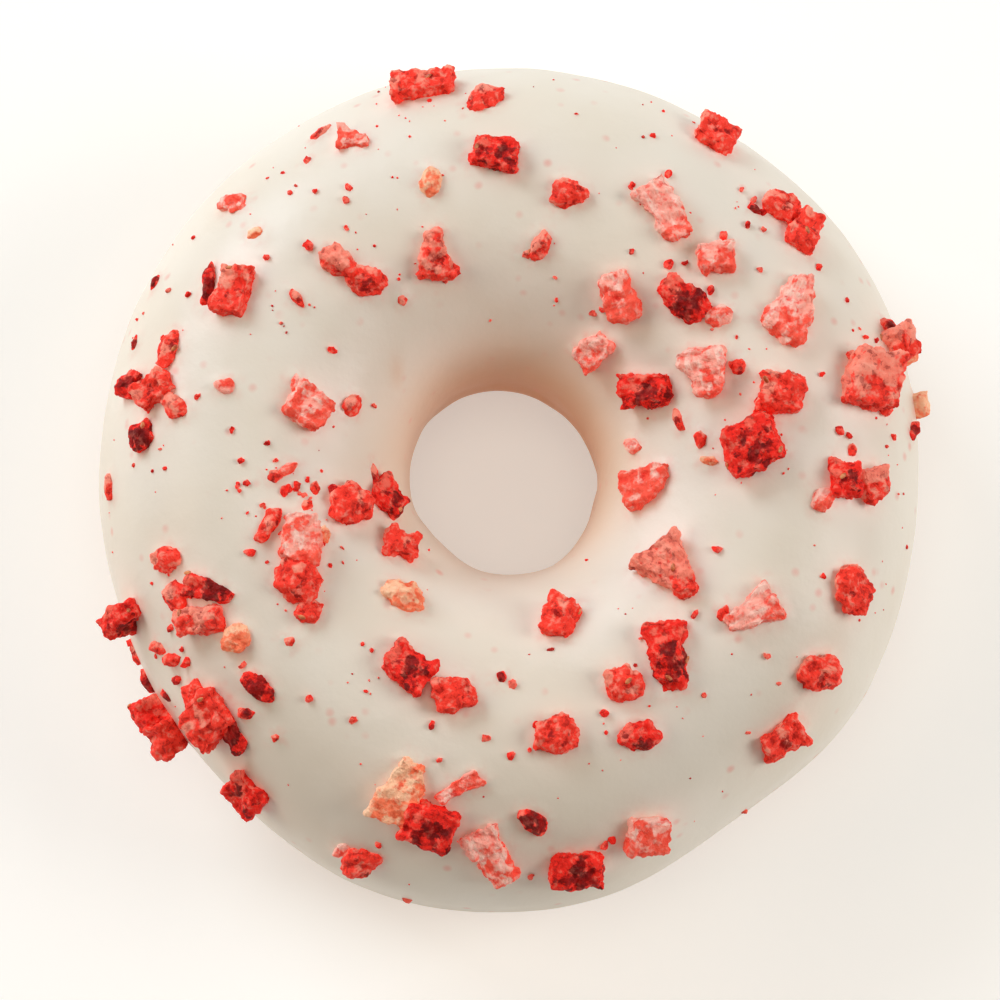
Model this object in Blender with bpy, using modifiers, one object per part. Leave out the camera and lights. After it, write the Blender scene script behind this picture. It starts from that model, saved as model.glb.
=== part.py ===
"""A ring doughnut under pale icing, scattered with dried strawberry pieces.

The doughnut lies on the flat of its base, with its hole upright. The origin is
the middle of the base, +X is the photograph's right and +Y its far side. The
dough is one solid. The icing is a second one: a skin over the upper half, with
the strawberry pieces sunk into it, a hair's breadth clear of the dough.
"""

import math
import random

import bmesh
import bpy
from mathutils import Matrix, Vector

MM = 0.001

# Driving dimensions, in millimetres unless a name says degrees
RIM_RADIUS = 41.55
RIM_OVAL = 0.75
RIM_OVAL_DEGREES = 100.0
HOLE_RADIUS = 9.55
HOLE_SHIFT_X = -0.9
HOLE_SHIFT_Y = 0.1
WAIST_HEIGHT = 13.0
CROWN_HEIGHT = 28.0
CROWN_SLOPE = 0.5
CROWN_SLOPE_DEGREES = 200.0
BELLY_DEPTH = 16.4
MIDDLE_X = -0.05
MIDDLE_Y = 0.2

# Swells and dents of the rim and the hole: bearing, spread in degrees, height
RIM_SWELLS = (
    (30.0, 22.0, 0.8),
    (150.0, 26.0, 0.3),
    (252.0, 18.0, 0.8),
    (304.0, 18.0, -1.9),
    (346.0, 22.0, -0.4),
)
HOLE_SWELLS = ((120.0, 32.0, 0.4), (222.0, 24.0, -0.8), (305.0, 26.0, 0.5))

# The icing: a skin that thickens into a bead and then thins to its lip
ICING_THICKNESS = 1.5
ICING_GAP = 0.4
BEAD_SHARE = 1.25
LIP_SHARE = 0.55
OUTER_LIP_DEGREES = -19.0
INNER_LIP_DEGREES = 197.0
# Waves of the lips: how many round the ring, height and start in degrees
LIP_WAVES = ((3, 3.2, 40.0), (5, 2.2, 110.0), (8, 1.4, 15.0))

# How finely the two rings are faceted
DOUGH_SEGMENTS = 56
DOUGH_SIDES = 24
ICING_SEGMENTS = 64
ICING_SIDES = 28
ICING_FIRST_SIDE = -1
ICING_LAST_SIDE = 15

# The eye's place in the photograph, which the pieces' places are read from
EYE_ELEVATION_DEGREES = 80.0
EYE_DISTANCE = 400.0

# The strawberry pieces. Blocks and slices are broken from a box, lumps and
# slivers from a ball: kind to height over the icing as a share of width, and how
# much narrower the far end is
KINDS = {
    "block": (0.52, 0.1),
    "slice": (0.34, 0.6),
    "proud": (1.10, 0.3),
    "lump": (0.52, 0.0),
    "sliver": (0.60, 0.0),
}
BOXED_KINDS = ("block", "slice", "proud")
PIECE_SUNK = 0.85
PIECE_UPRIGHT = 0.35
BOX_RAGGED = 0.22
BALL_RAGGED = 0.16
DEEPEST = 1.0
SEED = 31

# Each row: where the eye sees the middle (right, back), length, width, the
# length's turn in degrees from +X, and kind. Grouped by how dry the piece is.
PIECES = {
    "red": (
        (-8.6, 39.8, 6.8, 4.0, 3, "block"),
        (-2.5, 38.7, 4.8, 2.8, 35, "lump"),
        (-19.1, 35.1, 3.0, 1.1, 55, "sliver"),
        (5.9, 29.1, 4.0, 3.0, 0, "lump"),
        (2.9, 23.7, 3.3, 2.1, 72, "lump"),
        (-7.5, 22.7, 5.0, 4.6, 100, "slice"),
        (-17.3, 22.0, 4.2, 3.0, -50, "lump"),
        (-14.7, 20.1, 4.6, 2.8, -15, "lump"),
        (-21.4, 18.4, 2.5, 1.0, -50, "sliver"),
        (-27.8, 19.3, 5.2, 3.6, 75, "block"),
        (-34.4, 13.4, 4.2, 2.1, 68, "sliver"),
        (-33.8, 7.8, 3.6, 2.2, -40, "lump"),
        (-35.9, 9.3, 4.6, 3.4, 25, "block"),
        (-15.8, 7.8, 2.6, 2.0, 60, "lump"),
        (-40.3, -0.5, 2.8, 1.3, 90, "sliver"),
        (-13.6, 0.7, 2.6, 1.1, 95, "sliver"),
        (-15.9, -2.0, 4.8, 4.4, 20, "lump"),
        (-11.0, -6.2, 3.7, 3.4, -10, "block"),
        (-24.3, -4.3, 4.2, 1.7, 58, "sliver"),
        (-21.3, -9.6, 5.0, 4.6, 60, "lump"),
        (-20.1, -12.8, 3.0, 2.6, 30, "lump"),
        (-34.6, -7.8, 3.5, 2.6, 15, "lump"),
        (-33.7, -11.6, 3.6, 2.6, 100, "lump"),
        (-31.1, -14.0, 5.0, 3.0, 8, "block"),
        (-35.4, -16.6, 2.5, 1.4, -10, "sliver"),
        (-33.9, -17.8, 2.4, 1.3, 15, "sliver"),
        (-31.8, -21.4, 4.2, 2.6, 75, "lump"),
        (-30.4, -24.0, 5.8, 5.0, 35, "block"),
        (-35.1, -26.0, 3.8, 3.2, 76, "proud"),
        (-15.1, -38.2, 4.4, 3.2, 18, "lump"),
        (-5.6, -21.1, 4.3, 3.7, 10, "block"),
        (4.4, -25.3, 4.7, 4.2, 35, "lump"),
        (5.0, -13.3, 4.7, 3.4, 72, "block"),
        (11.4, -20.1, 4.0, 3.7, 5, "lump"),
        (27.4, -25.7, 5.3, 3.6, 32, "block"),
        (31.2, -19.0, 4.7, 4.2, -20, "lump"),
        (34.4, -10.8, 5.4, 4.2, -62, "lump"),
        (15.8, -9.1, 6.5, 6.0, -55, "slice"),
        (22.6, 11.6, 2.0, 1.8, 0, "lump"),
        (26.9, 9.0, 5.0, 4.4, -8, "block"),
        (16.7, 6.2, 2.5, 1.3, 112, "sliver"),
        (18.9, 4.3, 1.9, 1.3, 90, "lump"),
        (20.7, 34.8, 4.5, 4.0, -25, "block"),
        (27.4, 27.7, 4.6, 3.6, -30, "lump"),
        (29.4, 25.3, 4.4, 3.4, 60, "block"),
        (36.3, 10.4, 6.2, 6.0, -4, "block"),
        (39.1, 13.9, 3.8, 2.8, -60, "proud"),
        (36.4, 0.0, 3.6, 3.6, 20, "block"),
        (34.2, 3.2, 1.5, 1.2, 80, "lump"),
        (21.2, -13.1, 1.8, 1.1, 60, "sliver"),
        (-38.5, -17.5, 3.0, 1.6, 112, "lump"),
        (1.5, 22.8, 1.3, 1.1, 0, "lump"),
        (-10.8, 18.2, 1.2, 1.1, 0, "lump"),
        (-20.4, 32.2, 1.2, 1.0, 30, "lump"),
        (-23.7, 0.6, 1.9, 1.3, -10, "lump"),
        (-19.6, -0.6, 1.8, 1.1, 70, "lump"),
        (-20.4, -2.2, 1.5, 1.2, 40, "lump"),
        (-22.1, -16.0, 1.2, 1.0, 0, "lump"),
        (-23.4, -25.6, 1.4, 1.1, 20, "lump"),
    ),
    "dark": (
        (-1.6, 33.0, 4.9, 3.5, -14, "block"),
        (-30.4, 19.7, 5.0, 1.5, 86, "sliver"),
        (-35.7, 19.9, 2.1, 1.3, 80, "lump"),
        (-38.1, 9.8, 3.2, 2.4, 60, "block"),
        (-37.1, 4.7, 3.8, 2.7, 70, "lump"),
        (-12.2, -1.6, 3.9, 3.5, -40, "block"),
        (-30.2, -10.7, 5.4, 2.5, -14, "slice"),
        (-38.9, -13.6, 4.4, 2.8, 28, "proud"),
        (-25.4, -20.4, 4.1, 2.4, -36, "lump"),
        (-26.5, -23.1, 2.1, 1.3, 10, "lump"),
        (-34.5, -21.5, 1.9, 1.2, -20, "lump"),
        (-37.4, -20.5, 3.0, 1.8, 118, "lump"),
        (-37.7, 14.0, 1.6, 1.1, 80, "lump"),
        (-27.9, -25.3, 4.2, 2.4, 112, "lump"),
        (-36.2, -23.1, 3.4, 3.0, 118, "proud"),
        (-26.6, -31.2, 4.6, 4.0, -50, "block"),
        (-8.1, -34.5, 5.3, 4.6, -20, "block"),
        (-10.1, -18.5, 4.9, 4.0, -35, "block"),
        (-1.0, -19.5, 1.5, 1.1, 80, "lump"),
        (2.2, -33.9, 3.5, 2.1, -56, "lump"),
        (6.6, -38.9, 5.5, 4.2, -10, "block"),
        (15.8, -17.3, 6.8, 4.6, -82, "slice"),
        (12.7, -25.5, 4.4, 3.0, 8, "lump"),
        (13.4, 9.1, 5.3, 3.7, 3, "block"),
        (24.1, 3.7, 6.0, 5.4, 24, "block"),
        (17.4, 18.2, 5.8, 3.6, -42, "lump"),
        (24.4, 27.4, 1.7, 1.2, -40, "lump"),
        (37.8, 15.7, 2.7, 2.0, -18, "lump"),
        (40.4, 5.2, 2.3, 1.5, 50, "lump"),
        (33.6, 0.4, 3.4, 4.0, 0, "block"),
    ),
    "coral": (
        (-15.9, 34.4, 3.8, 3.0, -12, "slice"),
        (-27.9, 28.1, 3.5, 2.4, -22, "lump"),
        (-28.9, 9.7, 2.3, 1.6, -5, "lump"),
        (-20.0, 7.4, 4.6, 4.0, -30, "block"),
        (-21.5, 9.5, 2.7, 1.2, 92, "sliver"),
        (-22.2, 1.4, 2.2, 1.2, 35, "lump"),
        (-20.9, -5.8, 5.0, 4.2, 85, "block"),
        (-17.0, -37.0, 2.9, 1.5, 50, "sliver"),
        (-5.1, -30.7, 5.2, 2.2, 210, "slice"),
        (-1.9, -37.6, 6.9, 4.4, -65, "slice"),
        (13.7, -35.4, 4.4, 4.2, -5, "block"),
        (24.1, -12.8, 5.6, 4.4, 208, "slice"),
        (13.4, 0.2, 5.9, 4.2, 22, "slice"),
        (12.1, 3.5, 2.3, 1.5, -10, "lump"),
        (19.4, 11.0, 5.2, 5.4, -78, "slice"),
        (8.1, 13.2, 4.3, 3.0, 42, "block"),
        (10.9, 18.6, 5.1, 3.4, 108, "block"),
        (20.9, 16.7, 3.1, 2.2, 20, "lump"),
        (20.7, 22.7, 3.9, 3.4, 10, "block"),
        (15.3, 27.0, 7.2, 4.0, -60, "slice"),
        (28.1, 17.7, 7.4, 4.8, 64, "slice"),
        (31.1, -1.8, 2.9, 2.4, 60, "lump"),
    ),
    "peach": (
        (-25.6, 25.0, 1.9, 1.4, 0, "lump"),
        (-8.0, 30.0, 3.5, 2.2, 80, "lump"),
        (-10.6, -11.1, 4.5, 3.2, -14, "lump"),
        (-27.7, -15.6, 3.3, 2.8, 20, "lump"),
        (-18.6, -5.1, 1.9, 1.4, 80, "lump"),
        (-11.1, -30.8, 6.9, 4.6, 66, "slice"),
        (19.7, 2.2, 2.1, 1.1, -12, "sliver"),
        (40.6, 13.0, 1.8, 1.5, 60, "proud"),
        (41.0, 7.7, 2.6, 1.5, -62, "proud"),
    ),
}

# Crumbs: where the eye sees the middle of a drift, its reach, and how many
CRUMB_DRIFTS = (
    (-22.5, -1.0, 5.5, 16),
    (-33.0, -17.0, 6.5, 11),
    (-25.0, 28.0, 9.0, 6),
    (20.0, 22.0, 10.0, 12),
    (34.0, 5.0, 8.0, 6),
    (18.0, -30.0, 12.0, 4),
    (-5.0, -30.0, 14.0, 8),
)
CRUMB_SMALLEST = 0.7
CRUMB_LARGEST = 1.3


def swell(bearing, swells):
    """The height of some smooth swells at a bearing in radians."""
    height = 0.0
    for middle, spread, peak in swells:
        away = (math.degrees(bearing) - middle + 180.0) % 360.0 - 180.0
        height += peak * math.exp(-((away / spread) ** 2))
    return height


def rim_radius(bearing):
    """The iced ring's outer radius at its waist."""
    oval = RIM_OVAL * math.cos(2.0 * (bearing - math.radians(RIM_OVAL_DEGREES)))
    return RIM_RADIUS + oval + swell(bearing, RIM_SWELLS)


def hole_radius(bearing):
    """The iced hole's radius at its waist, seen from the ring's middle."""
    shift = HOLE_SHIFT_X * math.cos(bearing) + HOLE_SHIFT_Y * math.sin(bearing)
    return HOLE_RADIUS + shift + swell(bearing, HOLE_SWELLS)


def tube_section(bearing, inset):
    """The tube's middle radius, half width, and height over and depth under its waist."""
    outer = rim_radius(bearing) - inset
    inner = hole_radius(bearing) + inset
    crown = CROWN_HEIGHT + CROWN_SLOPE * math.cos(bearing - math.radians(CROWN_SLOPE_DEGREES))
    over = crown - inset - WAIST_HEIGHT
    under = BELLY_DEPTH - inset
    return (outer + inner) / 2.0, (outer - inner) / 2.0, over, under


def tube_point(bearing, turn, inset):
    """A point of the ring, in millimetres, some way under the icing's face.

    The turn runs over the tube: 0 is the rim's waist, a quarter turn is the
    crown, a half turn the hole's waist. The base cuts the belly flat.
    """
    middle, half, over, under = tube_section(bearing, inset)
    radius = middle + half * math.cos(turn)
    rise = over if math.sin(turn) > 0.0 else under
    height = max(0.0, WAIST_HEIGHT + rise * math.sin(turn))
    return Vector((
        MIDDLE_X + radius * math.cos(bearing),
        MIDDLE_Y + radius * math.sin(bearing),
        height,
    ))


def face_normal(bearing, turn):
    """The direction the icing's face looks in."""
    step = 0.001
    here = tube_point(bearing, turn, 0.0)
    along = tube_point(bearing + step, turn, 0.0) - here
    over = tube_point(bearing, turn + step, 0.0) - here
    return along.cross(over).normalized()


def lip_turn(bearing, degrees, away):
    """The turn at which the icing ends; away is -1 at the rim and 1 in the hole."""
    wave = 0.0
    for count, height, start in LIP_WAVES:
        wave += height * math.sin(count * bearing * away + math.radians(start))
    return math.radians(degrees + away * wave)


def under_the_eye(seen_x, seen_y, lift):
    """The bearing and turn of the icing under what the eye sees at a place.

    The eye is high on the near side, so what stands higher than the waist shows
    a little further back and a little larger. The lift is how far over the
    icing the thing seen there has its middle.
    """
    elevation = math.radians(EYE_ELEVATION_DEGREES)
    bearing, turn = 0.0, math.pi / 2.0
    height = CROWN_HEIGHT
    for _ in range(8):
        rise = height - WAIST_HEIGHT
        nearer = 1.0 - rise / EYE_DISTANCE
        x = seen_x * nearer
        y = (seen_y * nearer - rise * math.cos(elevation)) / math.sin(elevation)
        bearing = math.atan2(y, x)
        middle, half, over, _ = tube_section(bearing, -lift)
        across = (math.hypot(x, y) - middle) / half
        turn = math.acos(max(-1.0, min(1.0, across)))
        height = WAIST_HEIGHT + over * math.sin(turn)
    return bearing, turn


def clear_collections():
    """Remove whatever the file opened with."""
    for item in list(bpy.data.objects):
        bpy.data.objects.remove(item, do_unlink=True)
    for group in list(bpy.data.collections):
        bpy.data.collections.remove(group)


def new_collection(name):
    """A collection linked into the scene."""
    group = bpy.data.collections.new(name)
    bpy.context.scene.collection.children.link(group)
    return group


def move_to(item, group):
    """Put an object into one collection only."""
    for holder in list(item.users_collection):
        holder.objects.unlink(item)
    group.objects.link(item)


def principled(name, colour, roughness):
    """A plain coloured material."""
    material = bpy.data.materials.new(name)
    material.use_nodes = True
    shader = material.node_tree.nodes["Principled BSDF"]
    shader.inputs["Base Color"].default_value = (*colour, 1.0)
    shader.inputs["Roughness"].default_value = roughness
    shader.inputs["Metallic"].default_value = 0.0
    return material


def torus_object(name, segments, sides):
    """A torus of the ring's size, ready to be shaped."""
    middle, half, _, _ = tube_section(0.0, 0.0)
    bpy.ops.mesh.primitive_torus_add(
        major_segments=segments,
        minor_segments=sides,
        major_radius=middle * MM,
        minor_radius=half * MM,
    )
    ring = bpy.context.object
    ring.name = name
    ring.data.name = name
    return ring


def torus_angles(point):
    """The bearing and turn of a point of the torus as it was added."""
    middle, _, _, _ = tube_section(0.0, 0.0)
    bearing = math.atan2(point.y, point.x)
    turn = math.atan2(point.z, math.hypot(point.x, point.y) - middle * MM)
    return bearing, turn


def add_dough(group):
    """The dough: a torus shaped to the ring, cut flat by its base."""
    dough = torus_object("dough_ring", DOUGH_SEGMENTS, DOUGH_SIDES)
    for vertex in dough.data.vertices:
        bearing, turn = torus_angles(vertex.co)
        vertex.co = tube_point(bearing, turn, ICING_THICKNESS + ICING_GAP) * MM
    dough.data.shade_smooth()
    dough.data.set_sharp_from_angle(angle=math.radians(40.0))
    dough.data.materials.append(principled("fried_dough", (0.56, 0.31, 0.12), 0.75))
    move_to(dough, group)
    return dough


def add_icing(group):
    """The icing's skin: the upper part of a torus, given its thickness outward."""
    icing = torus_object("icing", ICING_SEGMENTS, ICING_SIDES)
    side = 2.0 * math.pi / ICING_SIDES
    first = ICING_FIRST_SIDE * side
    last = ICING_LAST_SIDE * side

    shape = bmesh.new()
    shape.from_mesh(icing.data)
    spare = []
    for vertex in shape.verts:
        turn = torus_angles(vertex.co)[1]
        turn += 2.0 * math.pi if turn < first - side / 2.0 else 0.0
        if turn > last + side / 2.0:
            spare.append(vertex)
    bmesh.ops.delete(shape, geom=spare, context="VERTS")
    shape.to_mesh(icing.data)
    shape.free()

    weights = icing.vertex_groups.new(name="thickness")
    for vertex in icing.data.vertices:
        bearing, turn = torus_angles(vertex.co)
        turn += 2.0 * math.pi if turn < first - side / 2.0 else 0.0
        share = (turn - first) / (last - first)
        outer = lip_turn(bearing, OUTER_LIP_DEGREES, -1.0)
        inner = lip_turn(bearing, INNER_LIP_DEGREES, 1.0)
        vertex.co = tube_point(bearing, outer + share * (inner - outer), ICING_THICKNESS) * MM
        rows_in = round(min(share, 1.0 - share) * (last - first) / side)
        weight = (LIP_SHARE, BEAD_SHARE)[rows_in] if rows_in < 2 else 1.0
        weights.add([vertex.index], weight / BEAD_SHARE, "REPLACE")

    solidify = icing.modifiers.new("thickness", "SOLIDIFY")
    solidify.thickness = ICING_THICKNESS * BEAD_SHARE * MM
    solidify.offset = 1.0
    solidify.vertex_group = "thickness"
    solidify.use_rim = True
    icing.data.materials.append(principled("white_icing", (0.86, 0.79, 0.68), 0.35))
    move_to(icing, group)
    return icing


def broken_shape(kind, draw):
    """A ball or a box with its corners pushed in and out unevenly."""
    shape = bmesh.new()
    if kind in BOXED_KINDS:
        ragged = BOX_RAGGED
        bmesh.ops.create_cube(shape, size=2.0)
        bmesh.ops.bisect_plane(
            shape,
            geom=shape.verts[:] + shape.edges[:] + shape.faces[:],
            plane_co=(draw.uniform(-0.4, 0.4), 0.0, 0.0),
            plane_no=(1.0, draw.uniform(-0.3, 0.3), 0.0),
        )
        bmesh.ops.triangulate(shape, faces=shape.faces[:])
    else:
        ragged = BALL_RAGGED
        bmesh.ops.create_icosphere(shape, subdivisions=1, radius=1.0)
    narrowing = KINDS[kind][1]
    for vertex in shape.verts:
        vertex.co.y *= 1.0 - narrowing * (vertex.co.x + 1.0) / 2.0
        for axis in range(3):
            vertex.co[axis] += draw.uniform(-ragged, ragged)
    return shape


def strawberry_piece(length, width, kind, draw):
    """One piece of its true size, standing over the height it is sunk by."""
    size = (length, width, width * KINDS[kind][0] + PIECE_SUNK)
    start = (-length / 2.0, -width / 2.0, -PIECE_SUNK)
    shape = broken_shape(kind, draw)
    for axis in range(3):
        places = [vertex.co[axis] for vertex in shape.verts]
        lowest = min(places)
        scale = size[axis] / (max(places) - lowest)
        for vertex in shape.verts:
            vertex.co[axis] = start[axis] + (vertex.co[axis] - lowest) * scale
    return shape


def held_in_icing(point):
    """Move a sunken corner out until it keeps clear of the dough."""
    x = point.x - MIDDLE_X
    y = point.y - MIDDLE_Y
    bearing = math.atan2(y, x)
    middle, half, over, under = tube_section(bearing, DEEPEST)
    across = (math.hypot(x, y) - middle) / half
    rise = point.z - WAIST_HEIGHT
    up = rise / (over if rise > 0.0 else under)
    reach = math.hypot(across, up)
    if reach >= 1.0:
        return point
    return tube_point(bearing, math.atan2(up, across), DEEPEST)


def seat_on_icing(shape, seen_x, seen_y, turn_degrees):
    """Stand a piece on the icing where the eye sees it, turned as it lies."""
    lift = max(vertex.co.z for vertex in shape.verts) / 2.0
    bearing, turn = under_the_eye(seen_x, seen_y, lift)
    normal = face_normal(bearing, turn)
    up = (normal * (1.0 - PIECE_UPRIGHT) + Vector((0.0, 0.0, PIECE_UPRIGHT))).normalized()
    heading = math.radians(turn_degrees)
    forward = Vector((math.cos(heading), math.sin(heading), 0.0))
    forward = (forward - up * forward.dot(up)).normalized()
    side = up.cross(forward)
    place = Matrix((forward, side, up)).transposed().to_4x4()
    place.translation = tube_point(bearing, turn, 0.0)
    for vertex in shape.verts:
        vertex.co = held_in_icing(place @ vertex.co) * MM


def add_shape(shape, name, group):
    """An object from a bmesh, which is freed."""
    mesh = bpy.data.meshes.new(name)
    shape.to_mesh(mesh)
    shape.free()
    item = bpy.data.objects.new(name, mesh)
    group.objects.link(item)
    return item


def add_pieces(group):
    """Every strawberry piece, seated on the icing."""
    draw = random.Random(SEED)
    for tone, rows in PIECES.items():
        for number, (x, y, length, width, turn_degrees, kind) in enumerate(rows):
            shape = strawberry_piece(length, width, kind, draw)
            seat_on_icing(shape, x, y, turn_degrees)
            add_shape(shape, f"{tone}_piece_{number:02d}", group)


def add_crumbs(group):
    """The larger crumbs, in drifts, as little eight-sided grains."""
    draw = random.Random(SEED + 1)
    number = 0
    for x, y, reach, count in CRUMB_DRIFTS:
        for _ in range(count):
            bearing = draw.uniform(0.0, 2.0 * math.pi)
            away = reach * math.sqrt(draw.random())
            size = draw.uniform(CRUMB_SMALLEST, CRUMB_LARGEST)
            shape = bmesh.new()
            bmesh.ops.create_uvsphere(shape, u_segments=4, v_segments=2, radius=size / 2.0)
            bmesh.ops.translate(shape, verts=shape.verts, vec=(0.0, 0.0, size / 8.0))
            seat_on_icing(
                shape,
                x + away * math.cos(bearing),
                y + away * math.sin(bearing),
                draw.uniform(0.0, 90.0),
            )
            add_shape(shape, f"crumb_{number:02d}", group)
            number += 1


def fuse(icing, pieces):
    """Join the pieces to the icing in one solid, and let them go."""
    union = icing.modifiers.new("pieces", "BOOLEAN")
    union.operation = "UNION"
    union.operand_type = "COLLECTION"
    union.collection = pieces
    union.solver = "EXACT"
    graph = bpy.context.evaluated_depsgraph_get()
    fused = bpy.data.meshes.new_from_object(icing.evaluated_get(graph))
    icing.modifiers.clear()
    icing.vertex_groups.clear()
    icing.data = fused
    fused.name = icing.name
    for item in list(pieces.objects):
        bpy.data.objects.remove(item, do_unlink=True)
    bpy.data.collections.remove(pieces)


def keep_largest_body(item):
    """Drop loose scraps, and the walls of any hollow that the fusing sealed."""
    shape = bmesh.new()
    shape.from_mesh(item.data)
    shape.verts.ensure_lookup_table()
    waiting = set(shape.verts)
    bodies = []
    while waiting:
        edge_of_body = [waiting.pop()]
        body = list(edge_of_body)
        while edge_of_body:
            vertex = edge_of_body.pop()
            for edge in vertex.link_edges:
                other = edge.other_vert(vertex)
                if other in waiting:
                    waiting.remove(other)
                    edge_of_body.append(other)
                    body.append(other)
        bodies.append(body)
    bodies.sort(key=len)
    for body in bodies[:-1]:
        bmesh.ops.delete(shape, geom=body, context="VERTS")
    shape.to_mesh(item.data)
    shape.free()


def build():
    """The whole doughnut."""
    clear_collections()
    doughnut = new_collection("iced_ring_doughnut")
    pieces = new_collection("strawberry_pieces")
    add_dough(doughnut)
    icing = add_icing(doughnut)
    add_pieces(pieces)
    add_crumbs(pieces)
    fuse(icing, pieces)
    keep_largest_body(icing)
    icing.data.shade_smooth()
    icing.data.set_sharp_from_angle(angle=math.radians(35.0))


build()
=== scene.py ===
# %% [markdown]
# # A white-iced ring doughnut with dried strawberry
#
# The real thing is a ring of dough, fried brown, dipped face down in sugar icing and
# scattered with broken freeze-dried strawberries while the icing is still wet. This
# lesson dresses a measured model of it. The model is loaded first and never moved, and
# all that follows is built in metres in the same place, so each piece fits at once.

# %% The measured model
import math
import random

import bmesh
import bpy
from mathutils import Matrix, Vector


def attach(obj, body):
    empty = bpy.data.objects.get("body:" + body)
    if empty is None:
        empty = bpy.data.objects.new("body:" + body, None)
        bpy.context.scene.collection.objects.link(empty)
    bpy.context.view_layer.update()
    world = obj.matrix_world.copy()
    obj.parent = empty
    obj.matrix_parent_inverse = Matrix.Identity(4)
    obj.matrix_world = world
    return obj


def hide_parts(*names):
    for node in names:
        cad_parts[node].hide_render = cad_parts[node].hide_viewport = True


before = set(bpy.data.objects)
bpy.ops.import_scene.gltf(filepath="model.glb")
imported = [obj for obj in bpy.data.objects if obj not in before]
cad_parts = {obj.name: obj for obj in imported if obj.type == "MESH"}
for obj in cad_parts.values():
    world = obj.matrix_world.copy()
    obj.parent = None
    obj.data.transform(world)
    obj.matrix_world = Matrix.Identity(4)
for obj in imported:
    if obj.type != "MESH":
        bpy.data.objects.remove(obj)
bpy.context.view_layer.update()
MM = 0.001

# %% [markdown]
# ## The eye
#
# The photograph looks down at the doughnut from 80 degrees over the table, close enough
# for its near rim to look a little nearer. The camera aims at the middle of the ring at
# the height where it is widest. The lens is set so that 0.1 mm there is one pixel of a
# picture 1000 pixels wide, and a small shift puts the ring's middle where it was seen.

# %% The camera
EYE_ELEVATION_DEGREES = 80.0
EYE_DISTANCE = 400.0
MIDDLE_X = -0.05
MIDDLE_Y = 0.2
WAIST_HEIGHT = 13.0
PICTURE_PIXELS = 1000
SEEN_MIDDLE_PIXEL = (511, 482)
MM_TO_A_PIXEL = 0.1

elevation = math.radians(EYE_ELEVATION_DEGREES)
camera = bpy.data.objects.new("eye", bpy.data.cameras.new("eye"))
bpy.context.scene.collection.objects.link(camera)
camera.location = (
    MIDDLE_X * MM,
    (MIDDLE_Y - EYE_DISTANCE * math.cos(elevation)) * MM,
    (WAIST_HEIGHT + EYE_DISTANCE * math.sin(elevation)) * MM,
)
camera.rotation_euler = (math.pi / 2.0 - elevation, 0.0, 0.0)
camera.data.sensor_width = 36.0
camera.data.lens = camera.data.sensor_width * EYE_DISTANCE / (MM_TO_A_PIXEL * PICTURE_PIXELS)
camera.data.shift_x = 0.5 - SEEN_MIDDLE_PIXEL[0] / PICTURE_PIXELS
camera.data.shift_y = SEEN_MIDDLE_PIXEL[1] / PICTURE_PIXELS - 0.5
camera.data.clip_start = 0.01
bpy.context.scene.camera = camera
print("lens:", round(camera.data.lens, 1), "mm")

# %% [markdown]
# ## Light
#
# The photograph was lit softly from behind on the left, so the near rim is in its own
# shade, with a weaker light from the right. Wide area lights give such soft edges to
# the shadows: the wider a light is for its distance, the softer its shadow. A dim
# world fills in the rest.


# %% Soft lights
def paint(red, green, blue):
    """A colour as pictures name it, 0 to 255, as the amounts of light Blender mixes."""
    return tuple((part / 255.0) ** 2.2 for part in (red, green, blue))


def soft_light(name, bearing_degrees, height_degrees, watts, colour):
    """A square area light aimed at the doughnut, by where it stands in the room."""
    light = bpy.data.lights.new(name, "AREA")
    light.size = LIGHT_WIDTH
    light.energy = watts
    light.color = colour
    lamp = bpy.data.objects.new(name, light)
    bearing = math.radians(bearing_degrees)
    height = math.radians(height_degrees)
    lamp.location = (
        LIGHT_DISTANCE * math.cos(bearing) * math.cos(height),
        LIGHT_DISTANCE * math.sin(bearing) * math.cos(height),
        LIGHT_DISTANCE * math.sin(height),
    )
    lamp.rotation_euler = (-lamp.location).to_track_quat("-Z", "Y").to_euler()
    bpy.context.scene.collection.objects.link(lamp)


LIGHT_WIDTH = 0.42
LIGHT_DISTANCE = 0.80
soft_light("window_behind_left", 135.0, 30.0, 3.5, (0.90, 1.0, 1.10))
soft_light("window_behind", 90.0, 20.0, 0.6, (0.95, 1.0, 1.0))
soft_light("right_fill", 0.0, 34.0, 3.2, (1.02, 1.0, 0.99))
soft_light("left_fill", 180.0, 35.0, 1.3, (1.25, 1.0, 0.82))
soft_light("overhead", 0.0, 90.0, 0.9, (1.06, 1.0, 0.86))

world = bpy.data.worlds.new("pale_room")
bpy.context.scene.world = world
world.use_nodes = True
world.node_tree.nodes["Background"].inputs["Color"].default_value = (1.0, 0.92, 0.86, 1.0)
world.node_tree.nodes["Background"].inputs["Strength"].default_value = 0.05
bpy.context.scene.view_settings.view_transform = "Standard"

print("lights:", len(bpy.data.lights))

# %% [markdown]
# ## Nodes written as sums
#
# Node trees are easier to follow when they read like sums. This small class holds one
# output of a node. Adding or multiplying two of them, or one and a number, makes the
# Math node for it. The same class serves materials and Geometry Nodes.


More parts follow.
